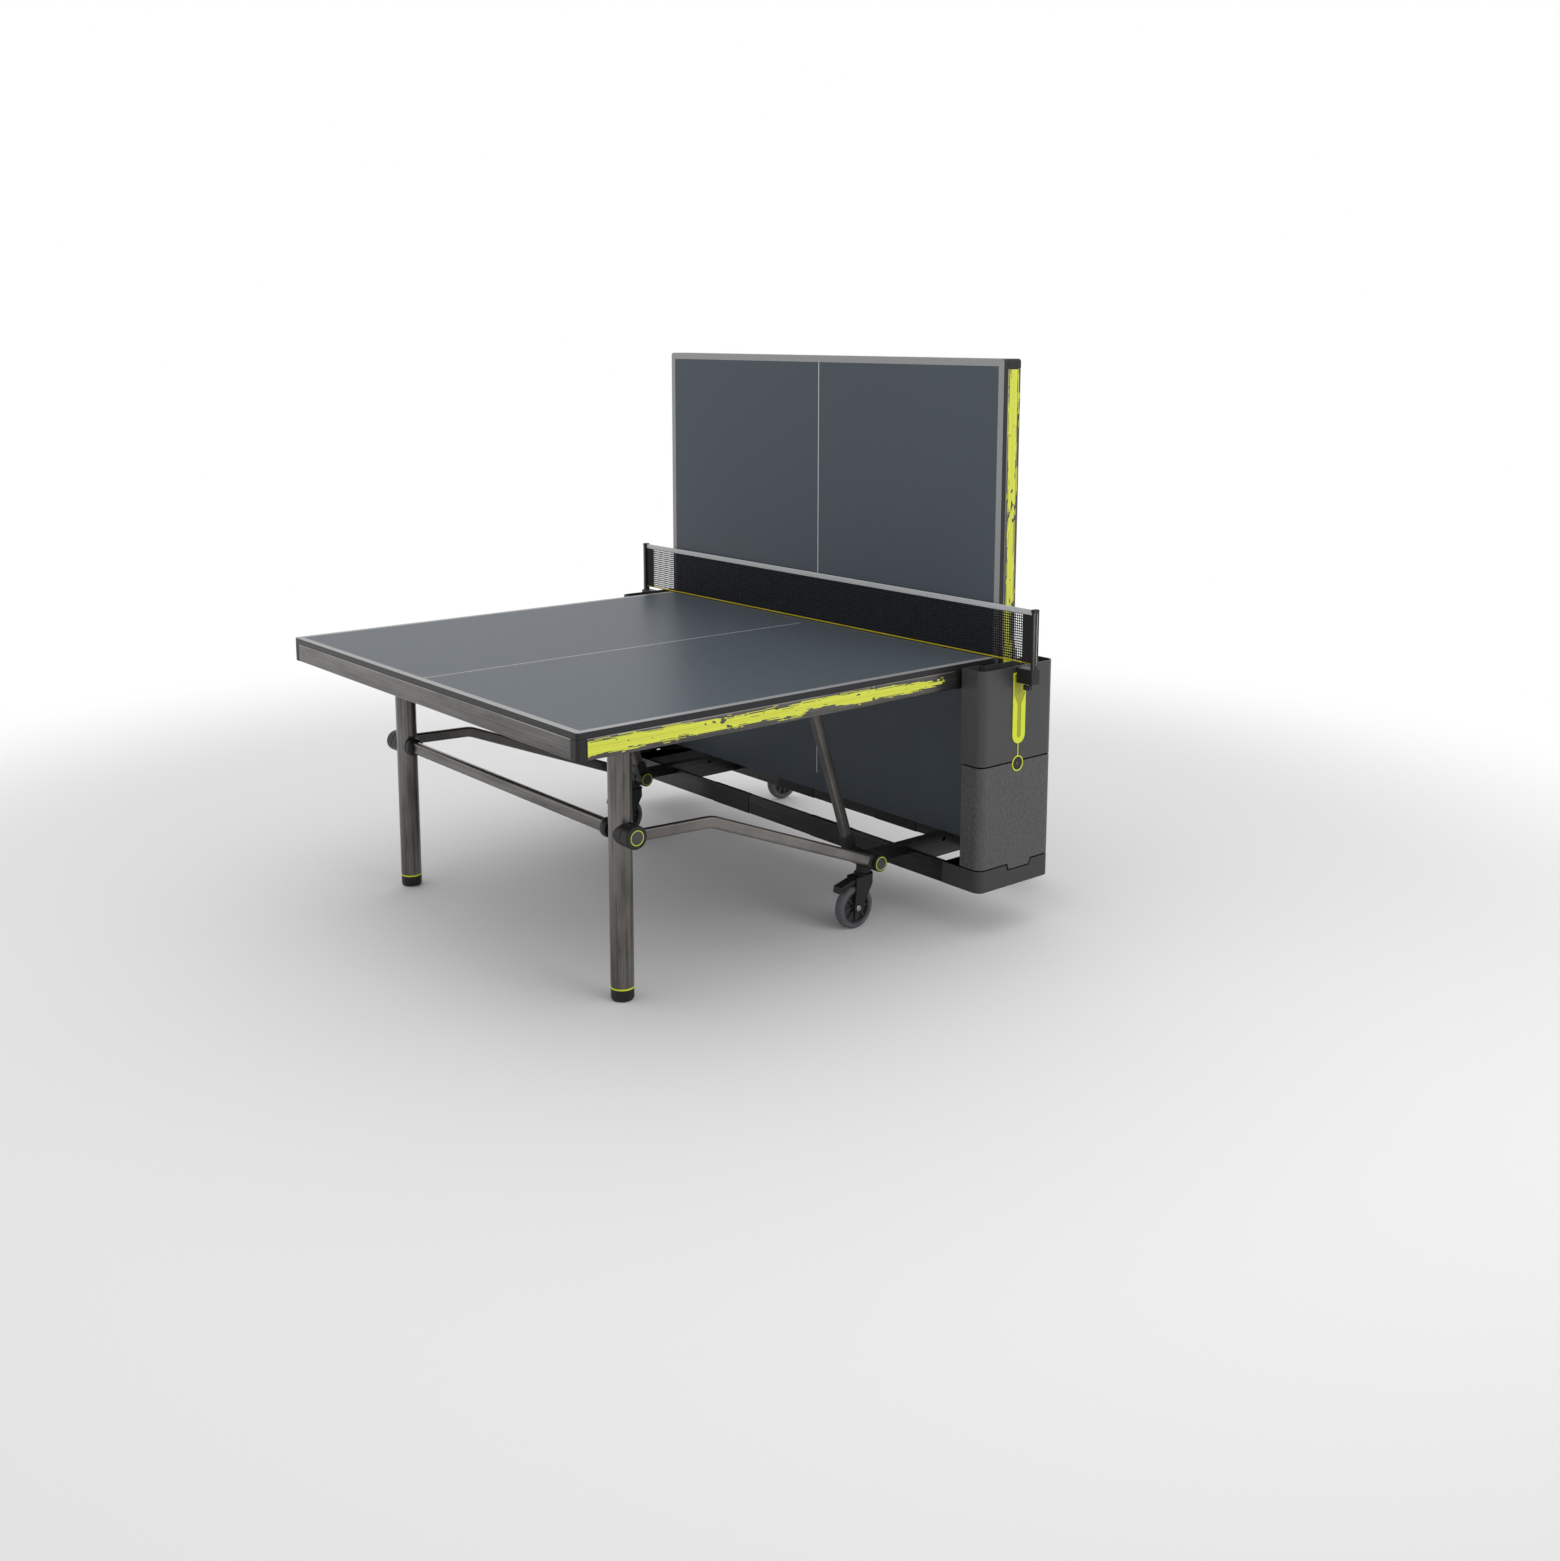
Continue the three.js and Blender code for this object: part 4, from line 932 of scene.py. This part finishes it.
# ---------- Chassis ----------
def base_bars():
    for word, lo, hi in (("front", front_lo, front_hi), ("rear", rear_lo, rear_hi)):
        node = f"base_bar_{word}"
        piece = model(node, "root", slot="raw_steel")
        piece.add(streaked(refined(node, 2.2, 3), "y"), "dark_steel").done()
        outer = rounded_rectangle(lo.x - 1.6, hi.x + 1.6, lo.z - 1.6, hi.z + 1.6, (4, 4, 4, 4), 4)
        inner = rounded_rectangle(lo.x + 0.4, hi.x - 0.4, lo.z + 0.4, hi.z - 0.4, (3, 3, 3, 3), 4)
        sleeves = Piece(f"bar_sleeves_{word}", "root")
        for side in (-1, 1):
            y0, y1 = sorted((side * SLEEVE[0], side * SLEEVE[1]))
            sections = ((inner, y0), (outer, y0), (outer, y1), (inner, y1))
            rings = [[(x, y, z) for x, z in shape] for shape, y in sections]
            sleeves.add(loft(rings, closed=True), "black")
        sleeves.done()


def beam_finish(face):
    """Bare steel on top of a beam between its pivots, and black paint elsewhere."""
    middle = face.calc_center_median()
    along = abs(middle.x) < abs(PIVOT.x) - 34 and abs(abs(middle.y) - LEG_Y) < 18
    return "dark_steel" if along and middle.z > 178.5 else "black"


def pivot_beams():
    inner, outer = beam_lo.y, beam_hi.y
    barrel = (  # step from the barrel's radius, and place along y
        (-1.5, inner), (0, inner + 1.5), (0, inner + 17), (-1, inner + 18),
        (-1, inner + 20), (0, inner + 21), (0, outer - 3), (-1.5, outer - 0.2),
    )
    shell = [(PIVOT_R + step + 0.25, y) for step, y in barrel] + [(20, outer - 0.2), (20, inner)]
    for name, side in (("left", 1), ("right", -1)):
        node = f"pivot_beam_{name}"
        piece = model(node, "root")
        piece.add(streaked(refined(node, 1.6, 2), "x"), beam_finish)
        for x in (-PIVOT.x, PIVOT.x):
            piece.add(lathe(shell, 56, closed=True), "black", at(x, 0, PIVOT.z, across(side)))
        piece.done()


def locker_finish(face):
    """Pebbled on the faces that show, smooth on the inner side and on the joint's edge, where the darker tray
    plastic is painted shade in the gap.
    """
    middle = face.calc_center_median()
    outside = abs(middle.y) > 782 and face.normal.z < 0.5 and middle.z > tray_hi.z
    # Faces at the joint's edge, at or below the tray's top, take the darker tray plastic as painted shade in
    # the gap.
    return "pebble" if outside else "tray"


def locker_pieces():
    for name in ("left", "right"):
        parts = (  # node, shown slot, edge's rounding, change of shape, finish
            ("base_tray", "black_plastic", 2.0, None, "tray"),
            ("locker_lower", "grey_plastic", 1.4, open_joint, locker_finish),
            ("locker_bin", "grey_plastic", 1.3, None, "grey"),
            ("guide_column", "black_plastic", 1.2, None, "black"),
        )
        for word, slot, width, shape, finish in parts:
            node = f"{word}_{name}"
            model(node, "root", slot=slot).add(refined(node, width, 2, shape), finish).done()
        for tag in ("a", "b"):
            node = f"guide_carriage_{tag}_{name}"
            model(node, f"carriage_{tag}").add(refined(node, 1.0, 2), "black").done()
            node = f"corner_piece_{tag}_{name}"
            model(node, f"half_{tag}").add(refined(node, 2.2, 3), "black").done()


def capsule(half, top, foot, steps=24):
    """A strip with a square top and a round foot, in x and z."""
    return [(half, top), (-half, top)] + arc(0, foot + half, half, 180, 360, steps)


def accent_strips():
    """The yellow strap down each locker's outer face, with its slot and the ring on the seam."""
    face = lower_hi.y
    half, neck = STRIP_HALF, 7.5
    channel = half - 3.5
    top, slot_foot = STRIP_TOP - 4, STRIP_FOOT + 16
    outer = capsule(half, STRIP_TOP, STRIP_FOOT)
    slot = [(channel, top), (-channel, top), (-channel, SLOT_SHOULDER), (-neck, SLOT_NECK)]
    slot += arc(0, slot_foot + neck, neck, 180, 360, 16) + [(neck, SLOT_NECK), (channel, SLOT_SHOULDER)]
    r, inside = LOCK_RING_R, LOCK_RING_R - 3.4
    ring = [(inside, -0.5), (inside, 1.2), (inside + 0.8, 1.9), (r - 0.8, 1.9), (r, 1.2), (r, -0.5)]
    disc = [(inside - 0.3, -3.2), (inside - 0.3, 0.2), (inside - 1.5, 0.8), (6, 0.8), (5, 0.2), (5, -0.8)]
    for name, side in (("left", 1), ("right", -1)):
        piece = Piece(f"accent_strip_{name}", "root", slot="black_plastic")
        upright = basis((0, side * face, 0), (-side, 0, 0), (0, 0, 1))
        # The strip's floor, seen in its slot, takes the darker yellow as painted shade in the recess.
        piece.add(slab(outer, -0.5, 1.5, 0.8, 2), "slot_painted_shade", upright)
        piece.add(ring_between(outer, slot, 1.0, STRIP_THICK), "yellow", upright)
        line = block(-1.5, 1.5, LOCK_RING_Z + r - 1, STRIP_FOOT + 1, -0.5, 1.3, 0.4)
        piece.add(line, "yellow", upright)
        where = at(0, side * face, LOCK_RING_Z, across(side))
        piece.add(lathe(ring, 64, closed=True), "yellow", where)
        piece.add(lathe(disc, 56), "black", where)
        piece.done()


def resample(points, count):
    """Points at equal steps round an outline."""
    closed = points + points[:1]
    spans = [math.dist(a, b) for a, b in zip(closed, closed[1:])]
    total, out, k, gone = sum(spans), [], 0, 0.0
    for i in range(count):
        want = total * i / count
        while gone + spans[k] < want:
            gone += spans[k]
            k += 1
        f = (want - gone) / spans[k] if spans[k] else 0
        a, b = closed[k], closed[k + 1]
        out.append((a[0] + (b[0] - a[0]) * f, a[1] + (b[1] - a[1]) * f))
    return out


def ring_between(outer, inner, z0, z1, count=120):
    """A flat ring between an outer and an inner outline, matched by their share of the way round."""
    big, small = resample(outer, count), resample(inner, count)
    sections = ((big, z0), (big, z1), (small, z1), (small, z0))
    rings = [[(x, y, z) for x, y in shape] for shape, z in sections]
    return loft(rings, closed=True)


# ---------- Casters ----------
def mirrored_profile(points):
    """A profile of (radius, height) points with its mirror image above the middle."""
    return points + [(r, -z) for r, z in reversed(points)]


def caster_wheel(tag, middle, r, half):
    """A tyre on a rim with eight spokes, turned about its axle."""
    piece = model(f"caster_wheel_{tag}", f"wheel_{tag}", slot="tyre_rubber")
    turned = at(middle.x, middle.y, middle.z, ACROSS)
    tyre = [(r - 15, 1.5 - half), (r - 13, -half), (r - 8, 0.4 - half), (r - 3.5, 3 - half),
            (r - 0.9, 8 - half), (r, 13 - half)]
    rim = [(r - 14.6, 2 - half), (r - 17, 1.4 - half), (r - 20, 2 - half), (r - 21, -4)]
    web = [(13, -3.5), (r - 20.5, -3.5)]
    axle = [(6, 1 - half), (14, 1 - half), (15.5, 3 - half)]
    piece.add(lathe(mirrored_profile(tyre), 72, closed=True), "rubber", turned)
    piece.add(lathe(mirrored_profile(rim), 72, closed=True), "tray", turned)
    piece.add(lathe(mirrored_profile(web), 72, closed=True), "tray", turned)
    for k in range(SPOKES):
        spoke = block(13, r - 20, -2.2, 2.2, 4 - half, half - 4, 0.8)
        piece.add(spoke, "tray", turned @ Matrix.Rotation(2 * math.pi * k / SPOKES, 4, "Z"))
    piece.add(lathe(mirrored_profile(axle), 48, closed=True), "black", turned)
    piece.done()


def casters():
    bolt = ((9, 20.6), (9, 22.4), (7.5, 23.6), (4, 23.6), (3.4, 22.4))
    collar = ((26, 150.1), (27, 151), (27, 154), (25, 156), (21, 156))
    for end, swivel_x in (("front", PIVOT.x), ("rear", -PIVOT.x)):
        for name in ("left", "right"):
            tag = f"{end}_{name}"
            lo, hi = extent(f"caster_wheel_{tag}")
            middle = (lo + hi) / 2
            caster_wheel(tag, middle, (hi.z - lo.z) / 2, (hi.y - lo.y) / 2)
            fork = model(f"caster_fork_{tag}", f"swivel_{tag}")
            fork.add(refined(f"caster_fork_{tag}", 1.6, 2), "black")
            for edge in (-1, 1):
                fork.add(lathe(bolt, 6), "zinc", at(middle.x, middle.y, middle.z, across(edge)))
            fork.add(lathe(collar, 48), "black", at(swivel_x, middle.y, 0))
            fork.done()
            node = f"brake_pedal_{tag}"
            model(node, f"brake_{tag}").add(refined(node, 1.4, 2), "black").done()


# ---------- Net ----------
def post_half():
    """Half the width of a net post above its clamp, along x."""
    corners = [v.co for v in bpy.data.objects["net_post_left"].data.vertices]
    upper = [c.x for c in corners if c.z > post_hi.z * MM - 0.01]
    return (max(upper) - min(upper)) / 2 / MM


def tension_chain(name, place_y):
    """Beads on a cord, down the outer face of a post."""
    piece = Piece(f"tension_chain_{name}", "root", slot="raw_steel")
    bead = [(0.35, -1.45), (1.0, -1.1), (1.42, -0.4), (1.42, 0.4), (1.0, 1.1), (0.35, 1.45)]
    for k in range(BEADS):
        z = post_hi.z - 12 - k * BEAD_PITCH
        sway = 0.5 * math.sin(k * 0.45)
        flat = at(sway, place_y, z) @ Matrix.Scale(0.8, 4, Y_AXIS)
        piece.add(lathe(bead, 10), "zinc", flat)
        piece.add(rod(0.4, z - BEAD_PITCH, z, 0.1, 6), "zinc", at(sway, place_y, 0))
    piece.done()


def clamp_knob(name):
    """A six-lobed knob on its screw."""
    piece = model(f"clamp_knob_{name}", f"knob_{name}")
    lo, hi = extent(f"clamp_knob_{name}")
    where = at(0, (lo.y + hi.y) / 2, 0)
    lobes = []
    for i in range(72):
        turn = 2 * math.pi * i / 72
        r = 11.7 + 0.9 * math.cos(6 * turn)
        lobes.append((r * math.cos(turn), r * math.sin(turn)))
    piece.add(slab(lobes, lo.z, hi.z - 4.4, 2.0, 3), "black", where)
    piece.add(rod(6.4, hi.z - 6, hi.z, 0.6, 32), "zinc", where)
    piece.done()


def net_posts():
    y = post_hi.y - CHAIN_ROOM
    top, foot = post_hi.z, bin_hi.z - 2
    wide = post_half()

    def set_back(point):
        if abs(point.y) > y:
            point.y = math.copysign(y, point.y)

    for name, side in (("left", 1), ("right", -1)):
        post = model(f"net_post_{name}", "root")
        post.add(refined(f"net_post_{name}", 1.2, 2, set_back), "black")
        flip = mirrored(side)
        for edge in (-1, 1):
            x0, x1 = sorted((edge * (wide - 2.2), edge * (wide + 0.3)))
            post.add(block(x0, x1, y - 5, y - 0.3, foot, top - 4, 0.6), "pale_steel_and_painted_highlight", flip)
        cap = block(-wide - 1, wide + 1, y - 15, y - 0.1, top - 9, top - 0.1, 1.8)
        post.add(cap, "black", flip)
        post.done()
        tension_chain(name, side * (y + 0.2))
        clamp_knob(name)


def strand(points, wide, thick):
    """A thin four-sided thread through points."""
    rings = []
    for i, p in enumerate(points):
        before, after = points[max(i - 1, 0)], points[min(i + 1, len(points) - 1)]
        along = (after - before).normalized()
        aside = Vector((1, 0, 0))
        over = along.cross(aside)
        rings.append([p + aside * thick, p + over * wide, p - aside * thick, p - over * wide])
    return rings


def net_cloth():
    rng = random.Random(11)
    lo, hi = net_lo, net_hi
    width, height = hi.y - lo.y, hi.z - lo.z
    columns, rows = round(width / CELL), round(height / CELL)
    knots = {}
    for i in range(columns + 1):
        for j in range(rows + 1):
            loose = 0 if i in (0, columns) or j in (0, rows) else 1
            knots[i, j] = Vector((
                0,
                lo.y + width * i / columns + loose * rng.uniform(-0.35, 0.35),
                lo.z + height * j / rows + loose * rng.uniform(-0.35, 0.35),
            ))
    piece = Piece("net_cloth_mesh", "root", slot="net_mesh", replaces=("net_cloth",), smooth=80)
    wide, thick = STRAND / 2, STRAND_THICK / 2
    for i in range(columns + 1):
        piece.add(loft(strand([knots[i, j] for j in range(rows + 1)], wide, thick)), "yarn")
    for j in range(rows + 1):
        piece.add(loft(strand([knots[i, j] for i in range(columns + 1)], wide, thick)), "yarn")
    mesh = piece.done()

    cord = Piece("net_bottom_cord", "root", slot="net_mesh", smooth=80)
    count = round(width / 1.8)
    for k in range(2):
        rings = []
        for i in range(count + 1):
            y = lo.y + width * i / count
            turn = 2 * math.pi * (y - lo.y) / CORD_LAY + k * math.pi
            centre = Vector((1.15 * math.cos(turn), y, lo.z + 0.4 + 1.15 * math.sin(turn)))
            rings.append([centre + Vector((math.cos(a), 0, math.sin(a))) * 1.3
                          for a in (2 * math.pi * s / 6 for s in range(6))])
        cord.add(loft(rings), "yellow_cord")
    cord = cord.done()

    bands = Piece("net_side_bands", "root", slot="net_mesh")
    for side in (-1, 1):
        y0, y1 = sorted((side * (hi.y - SIDE_BAND), side * hi.y))
        bands.add(block(-1.6, 1.6, y0, y1, lo.z - 0.5, hi.z, 0.7), "band")
    bands = bands.done()


def net_tape():
    lo, hi = tape_lo, tape_hi
    piece = Piece("net_top_tape_band", "root", slot="net_tape", replaces=("net_top_tape",))
    t = (hi.x - lo.x) / 2
    z0, z1 = lo.z, hi.z
    outline = [(-t + 0.7, z0), (-t, z0 + 0.8), (-t + 0.15, z0 + 6)] + arc(0, z1 - t, t, 180, 0, 10)
    outline += [(t - 0.15, z0 + 6), (t, z0 + 0.8), (t - 0.7, z0)]
    outline += arc(0, z1 - t, t - 0.8, 0, 180, 10)
    steps = 120
    rings = []
    for i in range(steps + 1):
        y = lo.y + (hi.y - lo.y) * i / steps
        rings.append([(x + 0.15 * noise.noise(Vector((y / 60, z / 9, 2))), y, z) for x, z in outline])
    piece.add(loft(rings), "tape")
    for i in range(int((hi.y - lo.y) / STITCH)):
        y = lo.y + STITCH * (i + 0.3)
        for side in (-1, 1):
            x = side * (t - 0.15)
            piece.add(block(x - 0.25, x + 0.25, y, y + 3.4, z0 + 2.6, z0 + 3.2, 0.15, 1), "line")
    obj = piece.done()


# ---------- Build ----------
for half_tag in ("a", "b"):
    board(half_tag)
    apron_frame(half_tag)
    brush_band(half_tag, -1)
    brush_band(half_tag, 1)
    leg_set(half_tag)
    link_set(half_tag)
    strut_set(half_tag)
base_bars()
pivot_beams()
locker_pieces()
accent_strips()
casters()
net_posts()
net_tape()
net_cloth()


# ---------- Stage ----------
FLOOR_HALF = 60
FADE_FROM, FADE_TO = 2.1, 3.9  # the floor turns into backdrop between these distances from the table


def map_range(tree, value, start, end):
    """A node that takes a value from one range to another."""
    node = tree.nodes.new("ShaderNodeMapRange")
    for word, (low, high) in (("From", start), ("To", end)):
        node.inputs[f"{word} Min"].default_value = low
        node.inputs[f"{word} Max"].default_value = high
    tree.links.new(value, node.inputs["Value"])
    return node


def studio_level(tree, direction):
    """How bright the studio is in a direction: white behind the table and dimmer on the near side."""
    unit = tree.nodes.new("ShaderNodeVectorMath")
    unit.operation = "NORMALIZE"
    tree.links.new(direction, unit.inputs[0])
    across = tree.nodes.new("ShaderNodeVectorMath")
    across.operation = "DOT_PRODUCT"
    across.inputs[1].default_value = (0.55, 0.75, 0.0)
    tree.links.new(unit.outputs["Vector"], across.inputs[0])
    return map_range(tree, across.outputs["Value"], (-0.8, 0.15), (0.72, 1)).outputs["Result"]


def stage_material():
    """Pale floor that turns into the backdrop all round the table."""
    material = bpy.data.materials.new("stage_floor")
    material.use_nodes = True
    tree = material.node_tree
    surface = tree.nodes["Principled BSDF"]
    surface.inputs["Base Color"].default_value = (0.76, 0.76, 0.765, 1)
    surface.inputs["Roughness"].default_value = 0.75
    surface.inputs["Specular IOR Level"].default_value = 0.15
    place = tree.nodes.new("ShaderNodeNewGeometry")
    length = tree.nodes.new("ShaderNodeVectorMath")
    length.operation = "LENGTH"
    tree.links.new(place.outputs["Position"], length.inputs[0])
    fade = map_range(tree, length.outputs["Value"], (FADE_FROM, FADE_TO), (0, 1))
    fade.interpolation_type = "SMOOTHSTEP"
    glow = tree.nodes.new("ShaderNodeEmission")
    glow.inputs["Color"].default_value = (1, 1, 1, 1)
    tree.links.new(studio_level(tree, place.outputs["Position"]), glow.inputs["Strength"])
    both = tree.nodes.new("ShaderNodeMixShader")
    tree.links.new(fade.outputs["Result"], both.inputs[0])
    tree.links.new(surface.outputs[0], both.inputs[1])
    tree.links.new(glow.outputs[0], both.inputs[2])
    tree.links.new(both.outputs[0], tree.nodes["Material Output"].inputs["Surface"])
    return material


floor_mesh = bpy.data.meshes.new("stage_floor")
floor_corners = [(x * FLOOR_HALF, y * FLOOR_HALF, 0) for x, y in ((-1, -1), (1, -1), (1, 1), (-1, 1))]
floor_mesh.from_pydata(floor_corners, [], [(0, 1, 2, 3)])
floor_mesh.materials.append(stage_material())
floor = bpy.data.objects.new("stage_floor", floor_mesh)
bpy.context.scene.collection.objects.link(floor)


def area_light(name, place, target, size, power):
    light = bpy.data.lights.new(name, "AREA")
    light.shape = "RECTANGLE"
    light.size, light.size_y = size
    light.energy = power
    obj = bpy.data.objects.new(name, light)
    obj.location = place
    obj.rotation_euler = (Vector(target) - Vector(place)).to_track_quat("-Z", "Y").to_euler()
    bpy.context.scene.collection.objects.link(obj)


area_light("overhead", (-1.2, 0.2, 4.6), (0, 0, 0), (4.0, 3.0), 22)
area_light("near_fill", (0.9, -5.2, 2.4), (0.3, 0, 0.5), (3.0, 2.0), 60)

world = bpy.data.worlds.new("studio")
world.use_nodes = True
sky = world.node_tree
aim = sky.nodes.new("ShaderNodeTexCoord")
sky.links.new(studio_level(sky, aim.outputs["Generated"]), sky.nodes["Background"].inputs["Strength"])
sky.nodes["Background"].inputs["Color"].default_value = (1, 1, 1, 1)
bpy.context.scene.world = world
bpy.context.scene.view_settings.view_transform = "Standard"

# ---------- Camera ----------
AZIMUTH, ELEVATION, ROLL = (math.radians(angle) for angle in (-39.803, 9.07, 0.07))
camera_data = bpy.data.cameras.new("camera")
camera_data.lens = 37.91
camera_data.shift_y = -0.12
camera_data.clip_end = 200
camera = bpy.data.objects.new("camera", camera_data)
level = math.cos(ELEVATION)
back = Vector((math.sin(AZIMUTH) * level, -math.cos(AZIMUTH) * level, math.sin(ELEVATION)))
right = Vector((math.cos(AZIMUTH), math.sin(AZIMUTH), 0))
axes = Matrix((right, back.cross(right), back)).transposed().to_4x4()
spot = Matrix.Translation((NET_X - 3.3233, -3.8197, 1.6552))
camera.matrix_world = spot @ axes @ Matrix.Rotation(ROLL, 4, "Z")
bpy.context.scene.collection.objects.link(camera)
bpy.context.scene.camera = camera
